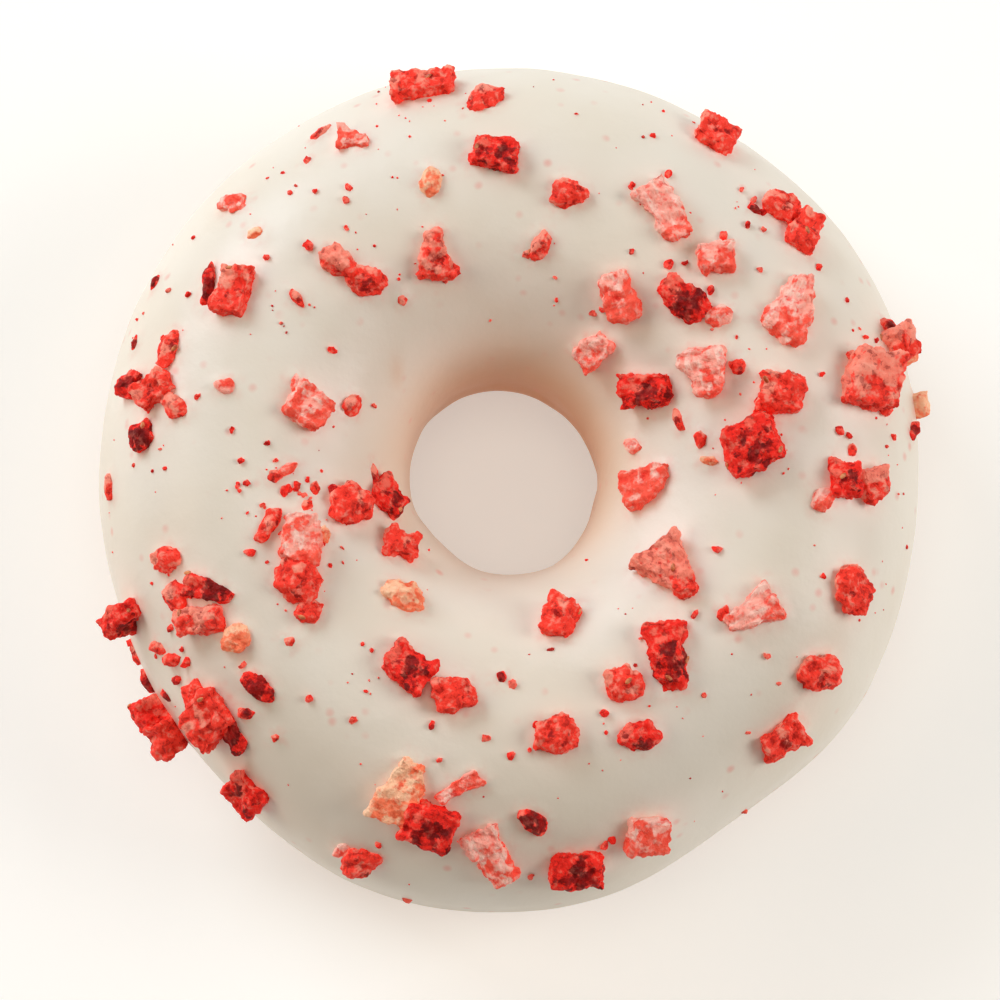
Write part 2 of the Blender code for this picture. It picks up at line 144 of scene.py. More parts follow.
# %% A wire that can be added and multiplied
class Wire:
    """One output of a node, which Python's own signs can work on."""

    def __init__(self, tree, socket=None):
        self.tree = tree
        self.socket = socket

    def node(self, kind, values=None, output=0, **settings):
        """A new node: its settings first, then its sockets' values or links."""
        made = self.tree.nodes.new(kind)
        for name, value in settings.items():
            setattr(made, name, value)
        for name, value in (values or {}).items():
            if isinstance(value, Wire):
                self.tree.links.new(value.socket, made.inputs[name])
            else:
                made.inputs[name].default_value = value
        return Wire(self.tree, made.outputs[output])

    def also(self, output):
        """Another output of the same node."""
        return Wire(self.tree, self.socket.node.outputs[output])

    def maths(self, operation, *terms):
        """A Math node on these terms."""
        return self.node("ShaderNodeMath", dict(enumerate(terms)), operation=operation)

    def __add__(self, other):
        return self.maths("ADD", self, other)

    def __radd__(self, other):
        return self.maths("ADD", other, self)

    def __sub__(self, other):
        return self.maths("SUBTRACT", self, other)

    def __rsub__(self, other):
        return self.maths("SUBTRACT", other, self)

    def __mul__(self, other):
        return self.maths("MULTIPLY", self, other)

    def __rmul__(self, other):
        return self.maths("MULTIPLY", other, self)

    def __truediv__(self, other):
        return self.maths("DIVIDE", self, other)

    def __rtruediv__(self, other):
        return self.maths("DIVIDE", other, self)

    def __mod__(self, other):
        return self.maths("FLOORED_MODULO", self, other)

    def __gt__(self, other):
        return self.maths("GREATER_THAN", self, other)


print("signs that make Math nodes: + - * / % >")

# %% [markdown]
# ## Helpers for both numbers and wires
#
# The ring's shape is one set of formulas. Geometry Nodes use them on wires to bend a
# grid into the icing, and Python uses them on numbers to seat each strawberry piece.
# So the first few functions look at what they are given, and either work it out at once
# or add a node. The others are for wires alone. Noise and cell patterns take their grain
# in millimetres, because sizes read off a real doughnut are easier to judge than a
# texture's scale.


# %% Functions that work on both
def work(operation, plain, *terms):
    """Work something out, at once for numbers and by a Math node for wires."""
    wires = [term for term in terms if isinstance(term, Wire)]
    return wires[0].maths(operation, *terms) if wires else plain(*terms)


def sine(angle):
    return work("SINE", math.sin, angle)


def cosine(angle):
    return work("COSINE", math.cos, angle)


def least(one, other):
    return work("MINIMUM", min, one, other)


def most(one, other):
    return work("MAXIMUM", max, one, other)


def hump(away):
    """1 in the middle and smoothly down to 0 on both sides."""
    return work("EXPONENT", math.exp, away * away * -1.0)


def ease(value, start, end):
    """0 before the start, 1 after the end, and a smooth climb between them."""
    sockets = {0: value, 1: start, 2: end, 3: 0.0, 4: 1.0}
    return value.node("ShaderNodeMapRange", sockets, interpolation_type="SMOOTHSTEP")


def scaled(vector, amount):
    """A vector made longer or shorter."""
    sockets = {0: vector, "Scale": amount}
    return vector.node("ShaderNodeVectorMath", sockets, operation="SCALE")


def noise(place, grain, detail=3.0, roughness=0.5):
    """Soft noise from 0 to 1, with features about as large as the grain, in mm."""
    sockets = {"Vector": place, "Scale": 1.0 / (grain * MM), "Detail": detail, "Roughness": roughness}
    return place.node("ShaderNodeTexNoise", sockets)


def cells(place, grain):
    """How far the nearest of scattered points is, which lie about a grain apart, in mm."""
    sockets = {"Vector": place, "Scale": 1.0 / (grain * MM), "Randomness": 1.0}
    return place.node("ShaderNodeTexVoronoi", sockets, feature="F1")


def blend(factor, one, other):
    """A colour between two colours."""
    pair = [colour if isinstance(colour, Wire) else (*colour, 1.0) for colour in (one, other)]
    sockets = {0: factor, 6: pair[0], 7: pair[1]}
    return factor.node("ShaderNodeMix", sockets, output=2, data_type="RGBA")


def part_of(vector, letter):
    """One of a vector's three numbers, by its letter."""
    return vector.node("ShaderNodeSeparateXYZ", {0: vector}, output=letter)


print("a hump's height half a spread away:", round(hump(0.5), 2))

# %% [markdown]
# ## Running a Geometry Nodes tree
#
# A tree takes its sizes by name, so it can be tried with others by hand. Its result is
# kept as a plain mesh and the modifier is taken off, because a finished piece should
# open the same way in any program.


# %% Growing a piece from a tree
SOCKET_KINDS = {
    int: "NodeSocketInt",
    float: "NodeSocketFloat",
    bpy.types.Material: "NodeSocketMaterial",
    bpy.types.Collection: "NodeSocketCollection",
}


def plan(name, sizes):
    """A new tree, a wire from its incoming mesh, and one from each named size."""
    tree = bpy.data.node_groups.new(name, "GeometryNodeTree")
    tree.interface.new_socket("Mesh", in_out="INPUT", socket_type="NodeSocketGeometry")
    for label, value in sizes.items():
        tree.interface.new_socket(label, in_out="INPUT", socket_type=SOCKET_KINDS[type(value)])
    tree.interface.new_socket("Mesh", in_out="OUTPUT", socket_type="NodeSocketGeometry")
    start = tree.nodes.new("NodeGroupInput")
    return Wire(tree, start.outputs["Mesh"]), {label: Wire(tree, start.outputs[label]) for label in sizes}


def grow(piece, result, finish, sizes):
    """End the tree, run it on an object with these sizes, and keep the plain mesh."""
    plain = result.node("GeometryNodeRealizeInstances", {"Geometry": result})
    coated = plain.node("GeometryNodeSetMaterial", {"Geometry": plain, "Material": finish})
    end = result.tree.nodes.new("NodeGroupOutput")
    result.tree.links.new(coated.socket, end.inputs["Mesh"])

    modifier = piece.modifiers.new("grown", "NODES")
    modifier.node_group = result.tree
    for item in result.tree.interface.items_tree:
        if item.in_out == "INPUT" and item.name in sizes:
            modifier[item.identifier] = sizes[item.name]
    graph = bpy.context.evaluated_depsgraph_get()
    mesh = bpy.data.meshes.new_from_object(
        piece.evaluated_get(graph), preserve_all_data_layers=True, depsgraph=graph
    )
    piece.modifiers.clear()
    piece.data = mesh
    mesh.name = piece.name
    mesh.calc_loop_triangles()
    print(f"{piece.name}: {len(mesh.vertices)} points, {len(mesh.loop_triangles)} triangles")
    return piece


def read_field(wire, label):
    """The number that is kept on the points under a name."""
    return wire.node("GeometryNodeInputNamedAttribute", {"Name": label}, data_type="FLOAT")


def kept_field(mesh, label, value, domain="POINT"):
    """Keep a wire's number on each point or instance, and read it back from there."""
    sockets = {"Geometry": mesh, "Name": label, "Value": value}
    stored = mesh.node("GeometryNodeStoreNamedAttribute", sockets, data_type="FLOAT", domain=domain)
    return stored, read_field(mesh, label)


def smoothed(mesh):
    """The mesh with smooth shading."""
    return mesh.node("GeometryNodeSetShadeSmooth", {"Geometry": mesh, "Shade Smooth": True})


def new_piece(name, mesh=None):
    """An object at the origin, with a mesh that may still be empty."""
    piece = bpy.data.objects.new(name, mesh or bpy.data.meshes.new(name))
    bpy.context.scene.collection.objects.link(piece)
    return piece


def new_finish(name, roughness, shine=0.5):
    """A material, its shader, and the wire of its object's coordinates."""
    material = bpy.data.materials.new(name)
    material.use_nodes = True
    shader = material.node_tree.nodes["Principled BSDF"]
    shader.inputs["Roughness"].default_value = roughness
    shader.inputs["Specular IOR Level"].default_value = shine
    place = Wire(material.node_tree).node("ShaderNodeTexCoord", output="Object")
    return material, shader, place


def coat(shader, **wires):
    """Link wires to the shader's sockets, whose names are written with a low line."""
    for name, wire in wires.items():
        wire.tree.links.new(wire.socket, shader.inputs[name.replace("_", " ")])


def relief(height, depth):
    """A bumpy normal from a height of 0 to 1 that stands for a depth in mm."""
    sockets = {"Strength": 1.0, "Distance": depth * MM, "Height": height}
    return height.node("ShaderNodeBump", sockets)


def attribute(wire, name, output="Fac"):
    """A number or a vector kept on the mesh under a name, read by a material."""
    return wire.node("ShaderNodeAttribute", output=output, attribute_name=name)


print("kinds of size:", len(SOCKET_KINDS))

# %% [markdown]
# ## The table
#
# The doughnut was photographed on plain white. Here it stands on a pale table that is
# lit a little from inside, as a photographer's light table is, so the shadows stay
# light. Far from the doughnut the glow grows, where the lamps no longer reach, and the
# table runs on like a white backdrop in the views from the side.

# %% A pale table
TABLE_HALF_WIDTH = 6.0
NEAR_GLOW = (0.43, 0.42, 0.40)
FAR_GLOW = (0.93, 0.92, 0.90)
table_finish, table_shader, table_place = new_finish("pale_table", 0.9)
table_shader.inputs["Base Color"].default_value = (*paint(218, 217, 213), 1.0)
table_shader.inputs["Emission Strength"].default_value = 1.0
away = table_place.node("ShaderNodeVectorMath", {0: table_place}, output="Value", operation="LENGTH")
coat(table_shader, Emission_Color=blend(ease(away, 0.3, 1.1), NEAR_GLOW, FAR_GLOW))
table_shape = bmesh.new()
bmesh.ops.create_grid(table_shape, x_segments=1, y_segments=1, size=TABLE_HALF_WIDTH)
table_mesh = bpy.data.meshes.new("table")
table_shape.to_mesh(table_mesh)
table_shape.free()
table_mesh.materials.append(table_finish)
new_piece("table", table_mesh)
print("table:", 2 * TABLE_HALF_WIDTH, "m wide")

# %% [markdown]
# ## The ring's rule
#
# A fried ring is a tube bent round a hole, but never a true one. Its rim is slightly
# oval and swells and sinks here and there, its hole sits off the middle, and its crown
# is higher on one side. All of it follows from the few sizes below, in millimetres.
# A point is named by its bearing round the ring and its turn over the tube: turn 0 is
# the rim, a quarter turn the crown, a half turn the wall of the hole.

# %% The ring's sizes
RIM_RADIUS = 41.55
RIM_OVAL = 0.75
RIM_OVAL_DEGREES = 100.0
HOLE_RADIUS = 9.55
HOLE_SHIFT_X = -0.9
HOLE_SHIFT_Y = 0.1
CROWN_HEIGHT = 28.0
CROWN_SLOPE = 0.5
CROWN_SLOPE_DEGREES = 200.0
BELLY_DEPTH = 16.4
# Each swell: its bearing and spread in degrees, and its height
RIM_SWELLS = (
    (30.0, 22.0, 0.8),
    (150.0, 26.0, 0.3),
    (252.0, 18.0, 0.8),
    (304.0, 18.0, -1.9),
    (346.0, 22.0, -0.4),
)
HOLE_SWELLS = ((120.0, 32.0, 0.4), (222.0, 24.0, -0.8), (305.0, 26.0, 0.5))


def swell(bearing, swells):
    """The height of some smooth swells at a bearing in radians."""
    height = 0.0
    for middle, spread, peak in swells:
        away = (bearing * math.degrees(1.0) - middle + 180.0) % 360.0 - 180.0
        height = hump(away / spread) * peak + height
    return height


def rim_radius(bearing):
    oval = cosine((bearing - math.radians(RIM_OVAL_DEGREES)) * 2.0) * RIM_OVAL
    return oval + swell(bearing, RIM_SWELLS) + RIM_RADIUS


def hole_radius(bearing):
    shift = cosine(bearing) * HOLE_SHIFT_X + sine(bearing) * HOLE_SHIFT_Y
    return shift + swell(bearing, HOLE_SWELLS) + HOLE_RADIUS


def tube_section(bearing, inset):
    """The tube's middle radius, half width, and height over and depth under its waist."""
    outer = rim_radius(bearing) - inset
    inner = hole_radius(bearing) + inset
    crown = cosine(bearing - math.radians(CROWN_SLOPE_DEGREES)) * CROWN_SLOPE + CROWN_HEIGHT
    return (outer + inner) / 2.0, (outer - inner) / 2.0, crown - inset - WAIST_HEIGHT, BELLY_DEPTH - inset


def tube_point(bearing, turn, inset):
    """A point of the ring, some way under the icing's face. The base is cut flat."""
    middle, half, over, under = tube_section(bearing, inset)
    radius = middle + half * cosine(turn)
    rise = under + (over - under) * (sine(turn) > 0.0)
    height = most(0.0, rise * sine(turn) + WAIST_HEIGHT)
    return radius * cosine(bearing) + MIDDLE_X, radius * sine(bearing) + MIDDLE_Y, height


rim_right = tube_point(0.0, 0.0, 0.0)[0]
rim_left = tube_point(math.pi, 0.0, 0.0)[0]
print("ring, right to left, in mm:", round(rim_right - rim_left, 1))

# %% [markdown]
# ## Bending a grid round the ring
#
# Both the dough and the icing are sheets that follow the rule, so one helper serves
# them. A flat grid is one unit wide and long. How far a point lies along it gives its
# bearing, and how far across it gives its turn. Set Position moves each point to where
# the rule puts it, and the seam's two edges, which now touch, are merged at the end.


# %% A grid that follows the rule
def ring_sheet(start, steps_round, steps_across, turn_at, inset_at):
    """A grid bent by two functions, and wires of its bearings and turns."""
    points = {"Vertices X": steps_round + 1.0, "Vertices Y": steps_across + 1.0}
    grid = start.node("GeometryNodeMeshGrid", {"Size X": 1.0, "Size Y": 1.0, **points})
    along = part_of(start.node("GeometryNodeInputPosition"), "X")
    bearing = (along + 0.5) * (2.0 * math.pi)
    turn = turn_at(bearing, along.also("Y") + 0.5)
    inset = inset_at(bearing, turn)
    grid, bearing = kept_field(grid, "bearing", bearing)
    grid, turn = kept_field(grid, "turn", turn)
    grid, inset = kept_field(grid, "inset", inset)
    x, y, z = tube_point(bearing, turn, inset)
    place = x.node("ShaderNodeCombineXYZ", {"X": x * MM, "Y": y * MM, "Z": z * MM})
    bent = grid.node("GeometryNodeSetPosition", {"Geometry": grid, "Position": place})
    return bent, bearing, turn


def pushed_out(mesh, amount):
    """Move a mesh's points along its own normals by an amount in mm."""
    offset = scaled(mesh.node("GeometryNodeInputNormal"), amount * MM)
    return mesh.node("GeometryNodeSetPosition", {"Geometry": mesh, "Offset": offset})


def sewn(mesh):
    """Merge the points that lie within a thousandth of a millimetre."""
    return mesh.node("GeometryNodeMergeByDistance", {"Geometry": mesh, "Distance": 0.001 * MM})


print("the ring's length round its crown, in mm:", round(2.0 * math.pi * tube_section(0.0, 0.0)[0]))

# %% [markdown]
# ## Fried dough
#
# Dough that floats in hot oil browns on its two broad sides and stays pale in a band
# round its middle, where it is above the oil the whole time. Its crust is dry, with
# fine wrinkles and small blisters. The band's place depends on height alone, so the
# colour is read from the height of a point with some noise added to fray its edges.

# %% The crust's finish
crust, crust_shader, crust_place = new_finish("fried_crust", 0.62, shine=0.3)
CRUST_DARK = paint(146, 84, 34)
CRUST_GOLD = paint(192, 126, 60)
CRUST_PALE = paint(226, 184, 120)
PALE_BAND_HEIGHT = 8.2
PALE_BAND_SPREAD = 2.0
crust_height = part_of(crust_place, "Z") / MM
frayed = crust_height + (noise(crust_place, 5.0, 4.0) - 0.5) * 2.6
pale_band = hump((frayed - PALE_BAND_HEIGHT) / PALE_BAND_SPREAD)
mottled = ease(noise(crust_place, 3.2, 5.0, 0.6), 0.30, 0.62)
fine_grain = noise(crust_place, 0.5, 3.0, 0.6)
blisters = 1.0 - ease(cells(crust_place, 2.4), 0.10, 0.34)
browned = blend(mottled, CRUST_DARK, CRUST_GOLD)
banded = blend(pale_band, browned, CRUST_PALE)
coat(
    crust_shader,
    Base_Color=blend(fine_grain * 0.22 + blisters * 0.12, banded, CRUST_DARK),
    Roughness=0.52 + fine_grain * 0.2 - blisters * 0.08,
    Normal=relief(noise(crust_place, 1.3, 5.0, 0.62) * 0.7 + blisters * 0.5, 0.35),
)
print("crust's pale band at", PALE_BAND_HEIGHT, "mm")

# %% [markdown]
# ## The dough ring
#
# The dough is one closed sheet, so its turn runs right round the tube. Geometry Nodes
# suit it, because its shape is a rule and not a pile of hand-moved points. Blisters
# and dimples are pushed into the mesh itself, fading to nothing near the flat base,
# so that the ring still stands where the measured one does.

# %% Growing the dough
ICING_THICKNESS = 1.5
DOUGH_SIZES = {
    "Steps round": 320,
    "Steps across": 128,
    "Inset": ICING_THICKNESS + 0.1,
    "Dimple depth": 0.35,
    "Crust": crust,
}
start, size = plan("dough_by_rule", DOUGH_SIZES)
dough_sheet, _, _ = ring_sheet(
    start,
    size["Steps round"],
    size["Steps across"],
    lambda bearing, across: across * (2.0 * math.pi),
    lambda bearing, turn: size["Inset"] + 0.0,
)
sewn_dough = sewn(dough_sheet)
here = start.node("GeometryNodeInputPosition")
over_base = ease(part_of(here, "Z") / MM, 0.2, 3.0)
dimples = (noise(here, 7.0, 3.0) - 0.5) * 1.4 + (noise(here, 1.8, 3.0) - 0.5) * 0.6
depth = size["Dimple depth"]
dented = pushed_out(sewn_dough, dimples * over_base * depth - depth * 0.3 * over_base)
dough = grow(new_piece("fried_ring"), smoothed(dented), size["Crust"], DOUGH_SIZES)
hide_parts("dough_ring")
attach(dough, "root")

# %% [markdown]
# ## Where each strawberry piece lies
#
# The rows were written from enlarged crops of the photograph, beside a program's
# list of the middles of its red spots. Where pieces touch, that list has one spot for
# several, so they were placed by eye. Nearly a third of the pieces, which lie apart, are
# within 0.3 mm of the list, so their places are as good as measured. A row gives where
# the eye sees a piece's middle, to the right and to the back of the ring's middle, then
# its length and width, the turn of its length from the right, and its kind. Blocks and
# slices are broken from a box and lumps and slivers from a ball, as in the measured
# model, whose pieces these match: the same seed gives the same corners.

# %% The pieces, by how dry they are
# Height over the icing as a share of width, and how much narrower the far end is
KINDS = {
    "block": (0.52, 0.1),
    "slice": (0.34, 0.6),
    "proud": (1.10, 0.3),
    "lump": (0.52, 0.0),
    "sliver": (0.60, 0.0),
}
BOXED_KINDS = ("block", "slice", "proud")
PIECES = {
    "red": (
        (-8.6, 39.8, 6.8, 4.0, 3, "block"), (-2.5, 38.7, 4.8, 2.8, 35, "lump"),
        (-19.1, 35.1, 3.0, 1.1, 55, "sliver"), (5.9, 29.1, 4.0, 3.0, 0, "lump"),
        (2.9, 23.7, 3.3, 2.1, 72, "lump"), (-7.5, 22.7, 5.0, 4.6, 100, "slice"),
        (-17.3, 22.0, 4.2, 3.0, -50, "lump"), (-14.7, 20.1, 4.6, 2.8, -15, "lump"),
        (-21.4, 18.4, 2.5, 1.0, -50, "sliver"), (-27.8, 19.3, 5.2, 3.6, 75, "block"),
        (-34.4, 13.4, 4.2, 2.1, 68, "sliver"), (-33.8, 7.8, 3.6, 2.2, -40, "lump"),
        (-35.9, 9.3, 4.6, 3.4, 25, "block"), (-15.8, 7.8, 2.6, 2.0, 60, "lump"),
        (-40.3, -0.5, 2.8, 1.3, 90, "sliver"), (-13.6, 0.7, 2.6, 1.1, 95, "sliver"),
        (-15.9, -2.0, 4.8, 4.4, 20, "lump"), (-11.0, -6.2, 3.7, 3.4, -10, "block"),
        (-24.3, -4.3, 4.2, 1.7, 58, "sliver"), (-21.3, -9.6, 5.0, 4.6, 60, "lump"),
        (-20.1, -12.8, 3.0, 2.6, 30, "lump"), (-34.6, -7.8, 3.5, 2.6, 15, "lump"),
        (-33.7, -11.6, 3.6, 2.6, 100, "lump"), (-31.1, -14.0, 5.0, 3.0, 8, "block"),
        (-35.4, -16.6, 2.5, 1.4, -10, "sliver"), (-33.9, -17.8, 2.4, 1.3, 15, "sliver"),
        (-31.8, -21.4, 4.2, 2.6, 75, "lump"), (-30.4, -24.0, 5.8, 5.0, 35, "block"),
        (-35.1, -26.0, 3.8, 3.2, 76, "proud"), (-15.1, -38.2, 4.4, 3.2, 18, "lump"),
        (-5.6, -21.1, 4.3, 3.7, 10, "block"), (4.4, -25.3, 4.7, 4.2, 35, "lump"),
        (5.0, -13.3, 4.7, 3.4, 72, "block"), (11.4, -20.1, 4.0, 3.7, 5, "lump"),
        (27.4, -25.7, 5.3, 3.6, 32, "block"), (31.2, -19.0, 4.7, 4.2, -20, "lump"),
        (34.4, -10.8, 5.4, 4.2, -62, "lump"), (15.8, -9.1, 6.5, 6.0, -55, "slice"),
        (22.6, 11.6, 2.0, 1.8, 0, "lump"), (26.9, 9.0, 5.0, 4.4, -8, "block"),
        (16.7, 6.2, 2.5, 1.3, 112, "sliver"), (18.9, 4.3, 1.9, 1.3, 90, "lump"),
        (20.7, 34.8, 4.5, 4.0, -25, "block"), (27.4, 27.7, 4.6, 3.6, -30, "lump"),
        (29.4, 25.3, 4.4, 3.4, 60, "block"), (36.3, 10.4, 6.2, 6.0, -4, "block"),
        (39.1, 13.9, 3.8, 2.8, -60, "proud"), (36.4, 0.0, 3.6, 3.6, 20, "block"),
        (34.2, 3.2, 1.5, 1.2, 80, "lump"), (21.2, -13.1, 1.8, 1.1, 60, "sliver"),
        (-38.5, -17.5, 3.0, 1.6, 112, "lump"), (1.5, 22.8, 1.3, 1.1, 0, "lump"),
        (-10.8, 18.2, 1.2, 1.1, 0, "lump"), (-20.4, 32.2, 1.2, 1.0, 30, "lump"),
        (-23.7, 0.6, 1.9, 1.3, -10, "lump"), (-19.6, -0.6, 1.8, 1.1, 70, "lump"),
        (-20.4, -2.2, 1.5, 1.2, 40, "lump"), (-22.1, -16.0, 1.2, 1.0, 0, "lump"),
        (-23.4, -25.6, 1.4, 1.1, 20, "lump"),
    ),
    "dark": (
        (-1.6, 33.0, 4.9, 3.5, -14, "block"), (-30.4, 19.7, 5.0, 1.5, 86, "sliver"),
        (-35.7, 19.9, 2.1, 1.3, 80, "lump"), (-38.1, 9.8, 3.2, 2.4, 60, "block"),
        (-37.1, 4.7, 3.8, 2.7, 70, "lump"), (-12.2, -1.6, 3.9, 3.5, -40, "block"),
        (-30.2, -10.7, 5.4, 2.5, -14, "slice"), (-38.9, -13.6, 4.4, 2.8, 28, "proud"),
        (-25.4, -20.4, 4.1, 2.4, -36, "lump"), (-26.5, -23.1, 2.1, 1.3, 10, "lump"),
        (-34.5, -21.5, 1.9, 1.2, -20, "lump"), (-37.4, -20.5, 3.0, 1.8, 118, "lump"),
        (-37.7, 14.0, 1.6, 1.1, 80, "lump"), (-27.9, -25.3, 4.2, 2.4, 112, "lump"),
        (-36.2, -23.1, 3.4, 3.0, 118, "proud"), (-26.6, -31.2, 4.6, 4.0, -50, "block"),
        (-8.1, -34.5, 5.3, 4.6, -20, "block"), (-10.1, -18.5, 4.9, 4.0, -35, "block"),
        (-1.0, -19.5, 1.5, 1.1, 80, "lump"), (2.2, -33.9, 3.5, 2.1, -56, "lump"),
        (6.6, -38.9, 5.5, 4.2, -10, "block"), (15.8, -17.3, 6.8, 4.6, -82, "slice"),
        (12.7, -25.5, 4.4, 3.0, 8, "lump"), (13.4, 9.1, 5.3, 3.7, 3, "block"),
        (24.1, 3.7, 6.0, 5.4, 24, "block"), (17.4, 18.2, 5.8, 3.6, -42, "lump"),
        (24.4, 27.4, 1.7, 1.2, -40, "lump"), (37.8, 15.7, 2.7, 2.0, -18, "lump"),
        (40.4, 5.2, 2.3, 1.5, 50, "lump"), (33.6, 0.4, 3.4, 4.0, 0, "block"),
    ),
    "coral": (
        (-15.9, 34.4, 3.8, 3.0, -12, "slice"), (-27.9, 28.1, 3.5, 2.4, -22, "lump"),
        (-28.9, 9.7, 2.3, 1.6, -5, "lump"), (-20.0, 7.4, 4.6, 4.0, -30, "block"),
        (-21.5, 9.5, 2.7, 1.2, 92, "sliver"), (-22.2, 1.4, 2.2, 1.2, 35, "lump"),
        (-20.9, -5.8, 5.0, 4.2, 85, "block"), (-17.0, -37.0, 2.9, 1.5, 50, "sliver"),
        (-5.1, -30.7, 5.2, 2.2, 210, "slice"), (-1.9, -37.6, 6.9, 4.4, -65, "slice"),
        (13.7, -35.4, 4.4, 4.2, -5, "block"), (24.1, -12.8, 5.6, 4.4, 208, "slice"),
        (13.4, 0.2, 5.9, 4.2, 22, "slice"), (12.1, 3.5, 2.3, 1.5, -10, "lump"),
        (19.4, 11.0, 5.2, 5.4, -78, "slice"), (8.1, 13.2, 4.3, 3.0, 42, "block"),
        (10.9, 18.6, 5.1, 3.4, 108, "block"), (20.9, 16.7, 3.1, 2.2, 20, "lump"),
        (20.7, 22.7, 3.9, 3.4, 10, "block"), (15.3, 27.0, 7.2, 4.0, -60, "slice"),
        (28.1, 17.7, 7.4, 4.8, 64, "slice"), (31.1, -1.8, 2.9, 2.4, 60, "lump"),
    ),
    "peach": (
        (-25.6, 25.0, 1.9, 1.4, 0, "lump"), (-8.0, 30.0, 3.5, 2.2, 80, "lump"),
        (-10.6, -11.1, 4.5, 3.2, -14, "lump"), (-27.7, -15.6, 3.3, 2.8, 20, "lump"),
        (-18.6, -5.1, 1.9, 1.4, 80, "lump"), (-11.1, -30.8, 6.9, 4.6, 66, "slice"),
        (19.7, 2.2, 2.1, 1.1, -12, "sliver"), (40.6, 13.0, 1.8, 1.5, 60, "proud"),
        (41.0, 7.7, 2.6, 1.5, -62, "proud"),
    ),
}
print("pieces:", {tone: len(rows) for tone, rows in PIECES.items()})

# %% [markdown]
# ## Breaking a piece
#
# A freeze-dried strawberry snaps along flat faces, so a piece starts as a box or ball
# of few corners, each pushed in or out by chance and then stretched to the size seen.
# It is seated where the eye's line meets the icing, tipped partly to the icing's slope
# and partly upright, as a piece that fell onto wet icing comes to rest.

# %% Broken shapes
PIECE_SUNK = 0.85
PIECE_UPRIGHT = 0.35
BOX_RAGGED = 0.22
BALL_RAGGED = 0.16
DEEPEST = 1.0
AIMS = 3
SEED = 31


def broken_shape(kind, draw):
    """A ball or a box with its corners pushed in and out unevenly."""
    shape = bmesh.new()
    if kind in BOXED_KINDS:
        ragged = BOX_RAGGED
        bmesh.ops.create_cube(shape, size=2.0)
        bmesh.ops.bisect_plane(
            shape,
            geom=shape.verts[:] + shape.edges[:] + shape.faces[:],
            plane_co=(draw.uniform(-0.4, 0.4), 0.0, 0.0),
            plane_no=(1.0, draw.uniform(-0.3, 0.3), 0.0),
        )
        bmesh.ops.triangulate(shape, faces=shape.faces[:])
    else:
        ragged = BALL_RAGGED
        bmesh.ops.create_icosphere(shape, subdivisions=1, radius=1.0)
    narrowing = KINDS[kind][1]
    for vertex in shape.verts:
        vertex.co.y *= 1.0 - narrowing * (vertex.co.x + 1.0) / 2.0
        for axis in range(3):
            vertex.co[axis] += draw.uniform(-ragged, ragged)
    return shape


def strawberry_piece(length, width, kind, draw):
    """One piece of its true size, standing over the height it is sunk by."""
    size = (length, width, width * KINDS[kind][0] + PIECE_SUNK)
    start = (-length / 2.0, -width / 2.0, -PIECE_SUNK)
    shape = broken_shape(kind, draw)
    for axis in range(3):
        places = [vertex.co[axis] for vertex in shape.verts]
        lowest = min(places)
        scale = size[axis] / (max(places) - lowest)
        for vertex in shape.verts:
            vertex.co[axis] = start[axis] + (vertex.co[axis] - lowest) * scale
    return shape


print("pieces are sunk", PIECE_SUNK, "mm into the icing")


# %% Seating a piece on the icing
def under_the_eye(seen_x, seen_y, lift):
    """The bearing and turn of the icing under what the eye sees at a place."""
    bearing, turn = 0.0, math.pi / 2.0
    height = CROWN_HEIGHT
    for _ in range(8):
        rise = height - WAIST_HEIGHT
        nearer = 1.0 - rise / EYE_DISTANCE
        x = seen_x * nearer
        y = (seen_y * nearer - rise * math.cos(elevation)) / math.sin(elevation)
        bearing = math.atan2(y, x)
        middle, half, over, _ = tube_section(bearing, -lift)
        across = (math.hypot(x, y) - middle) / half
        turn = math.acos(max(-1.0, min(1.0, across)))
        height = WAIST_HEIGHT + over * math.sin(turn)
    return bearing, turn


def face_normal(bearing, turn):
    """The direction the icing's face looks in."""
    step = 0.001
    here = Vector(tube_point(bearing, turn, 0.0))
    along = Vector(tube_point(bearing + step, turn, 0.0)) - here
    over = Vector(tube_point(bearing, turn + step, 0.0)) - here
    return along.cross(over).normalized()


def seen_from_eye(point):
    """Where the eye sees a point, in mm to the right and to the back of the ring's middle."""
    right = point.x - MIDDLE_X
    back = point.y - MIDDLE_Y
    rise = point.z - WAIST_HEIGHT
    depth = EYE_DISTANCE + back * math.cos(elevation) - rise * math.sin(elevation)
    larger = EYE_DISTANCE / depth
    return right * larger, (back * math.sin(elevation) + rise * math.cos(elevation)) * larger


def laid(aim_x, aim_y, lift, turn_degrees):
    """How a thing lies on the icing under a place, and how it is turned."""
    bearing, turn = under_the_eye(aim_x, aim_y, lift)
    normal = face_normal(bearing, turn)
    up = (normal * (1.0 - PIECE_UPRIGHT) + Vector((0.0, 0.0, PIECE_UPRIGHT))).normalized()
    heading = math.radians(turn_degrees)
    forward = Vector((math.cos(heading), math.sin(heading), 0.0))
    forward = (forward - up * forward.dot(up)).normalized()
    place = Matrix((forward, up.cross(forward), up)).transposed().to_4x4()
    place.translation = tube_point(bearing, turn, 0.0)
    return place


def seat(seen_x, seen_y, lift, turn_degrees):
    """Lay a thing where its middle is seen at this place, by aiming again three times."""
    aim_x, aim_y = seen_x, seen_y
    place = laid(aim_x, aim_y, lift, turn_degrees)
    for _ in range(AIMS):
        x, y = seen_from_eye(place @ Vector((0.0, 0.0, lift)))
        aim_x += seen_x - x
        aim_y += seen_y - y
        place = laid(aim_x, aim_y, lift, turn_degrees)
    return place


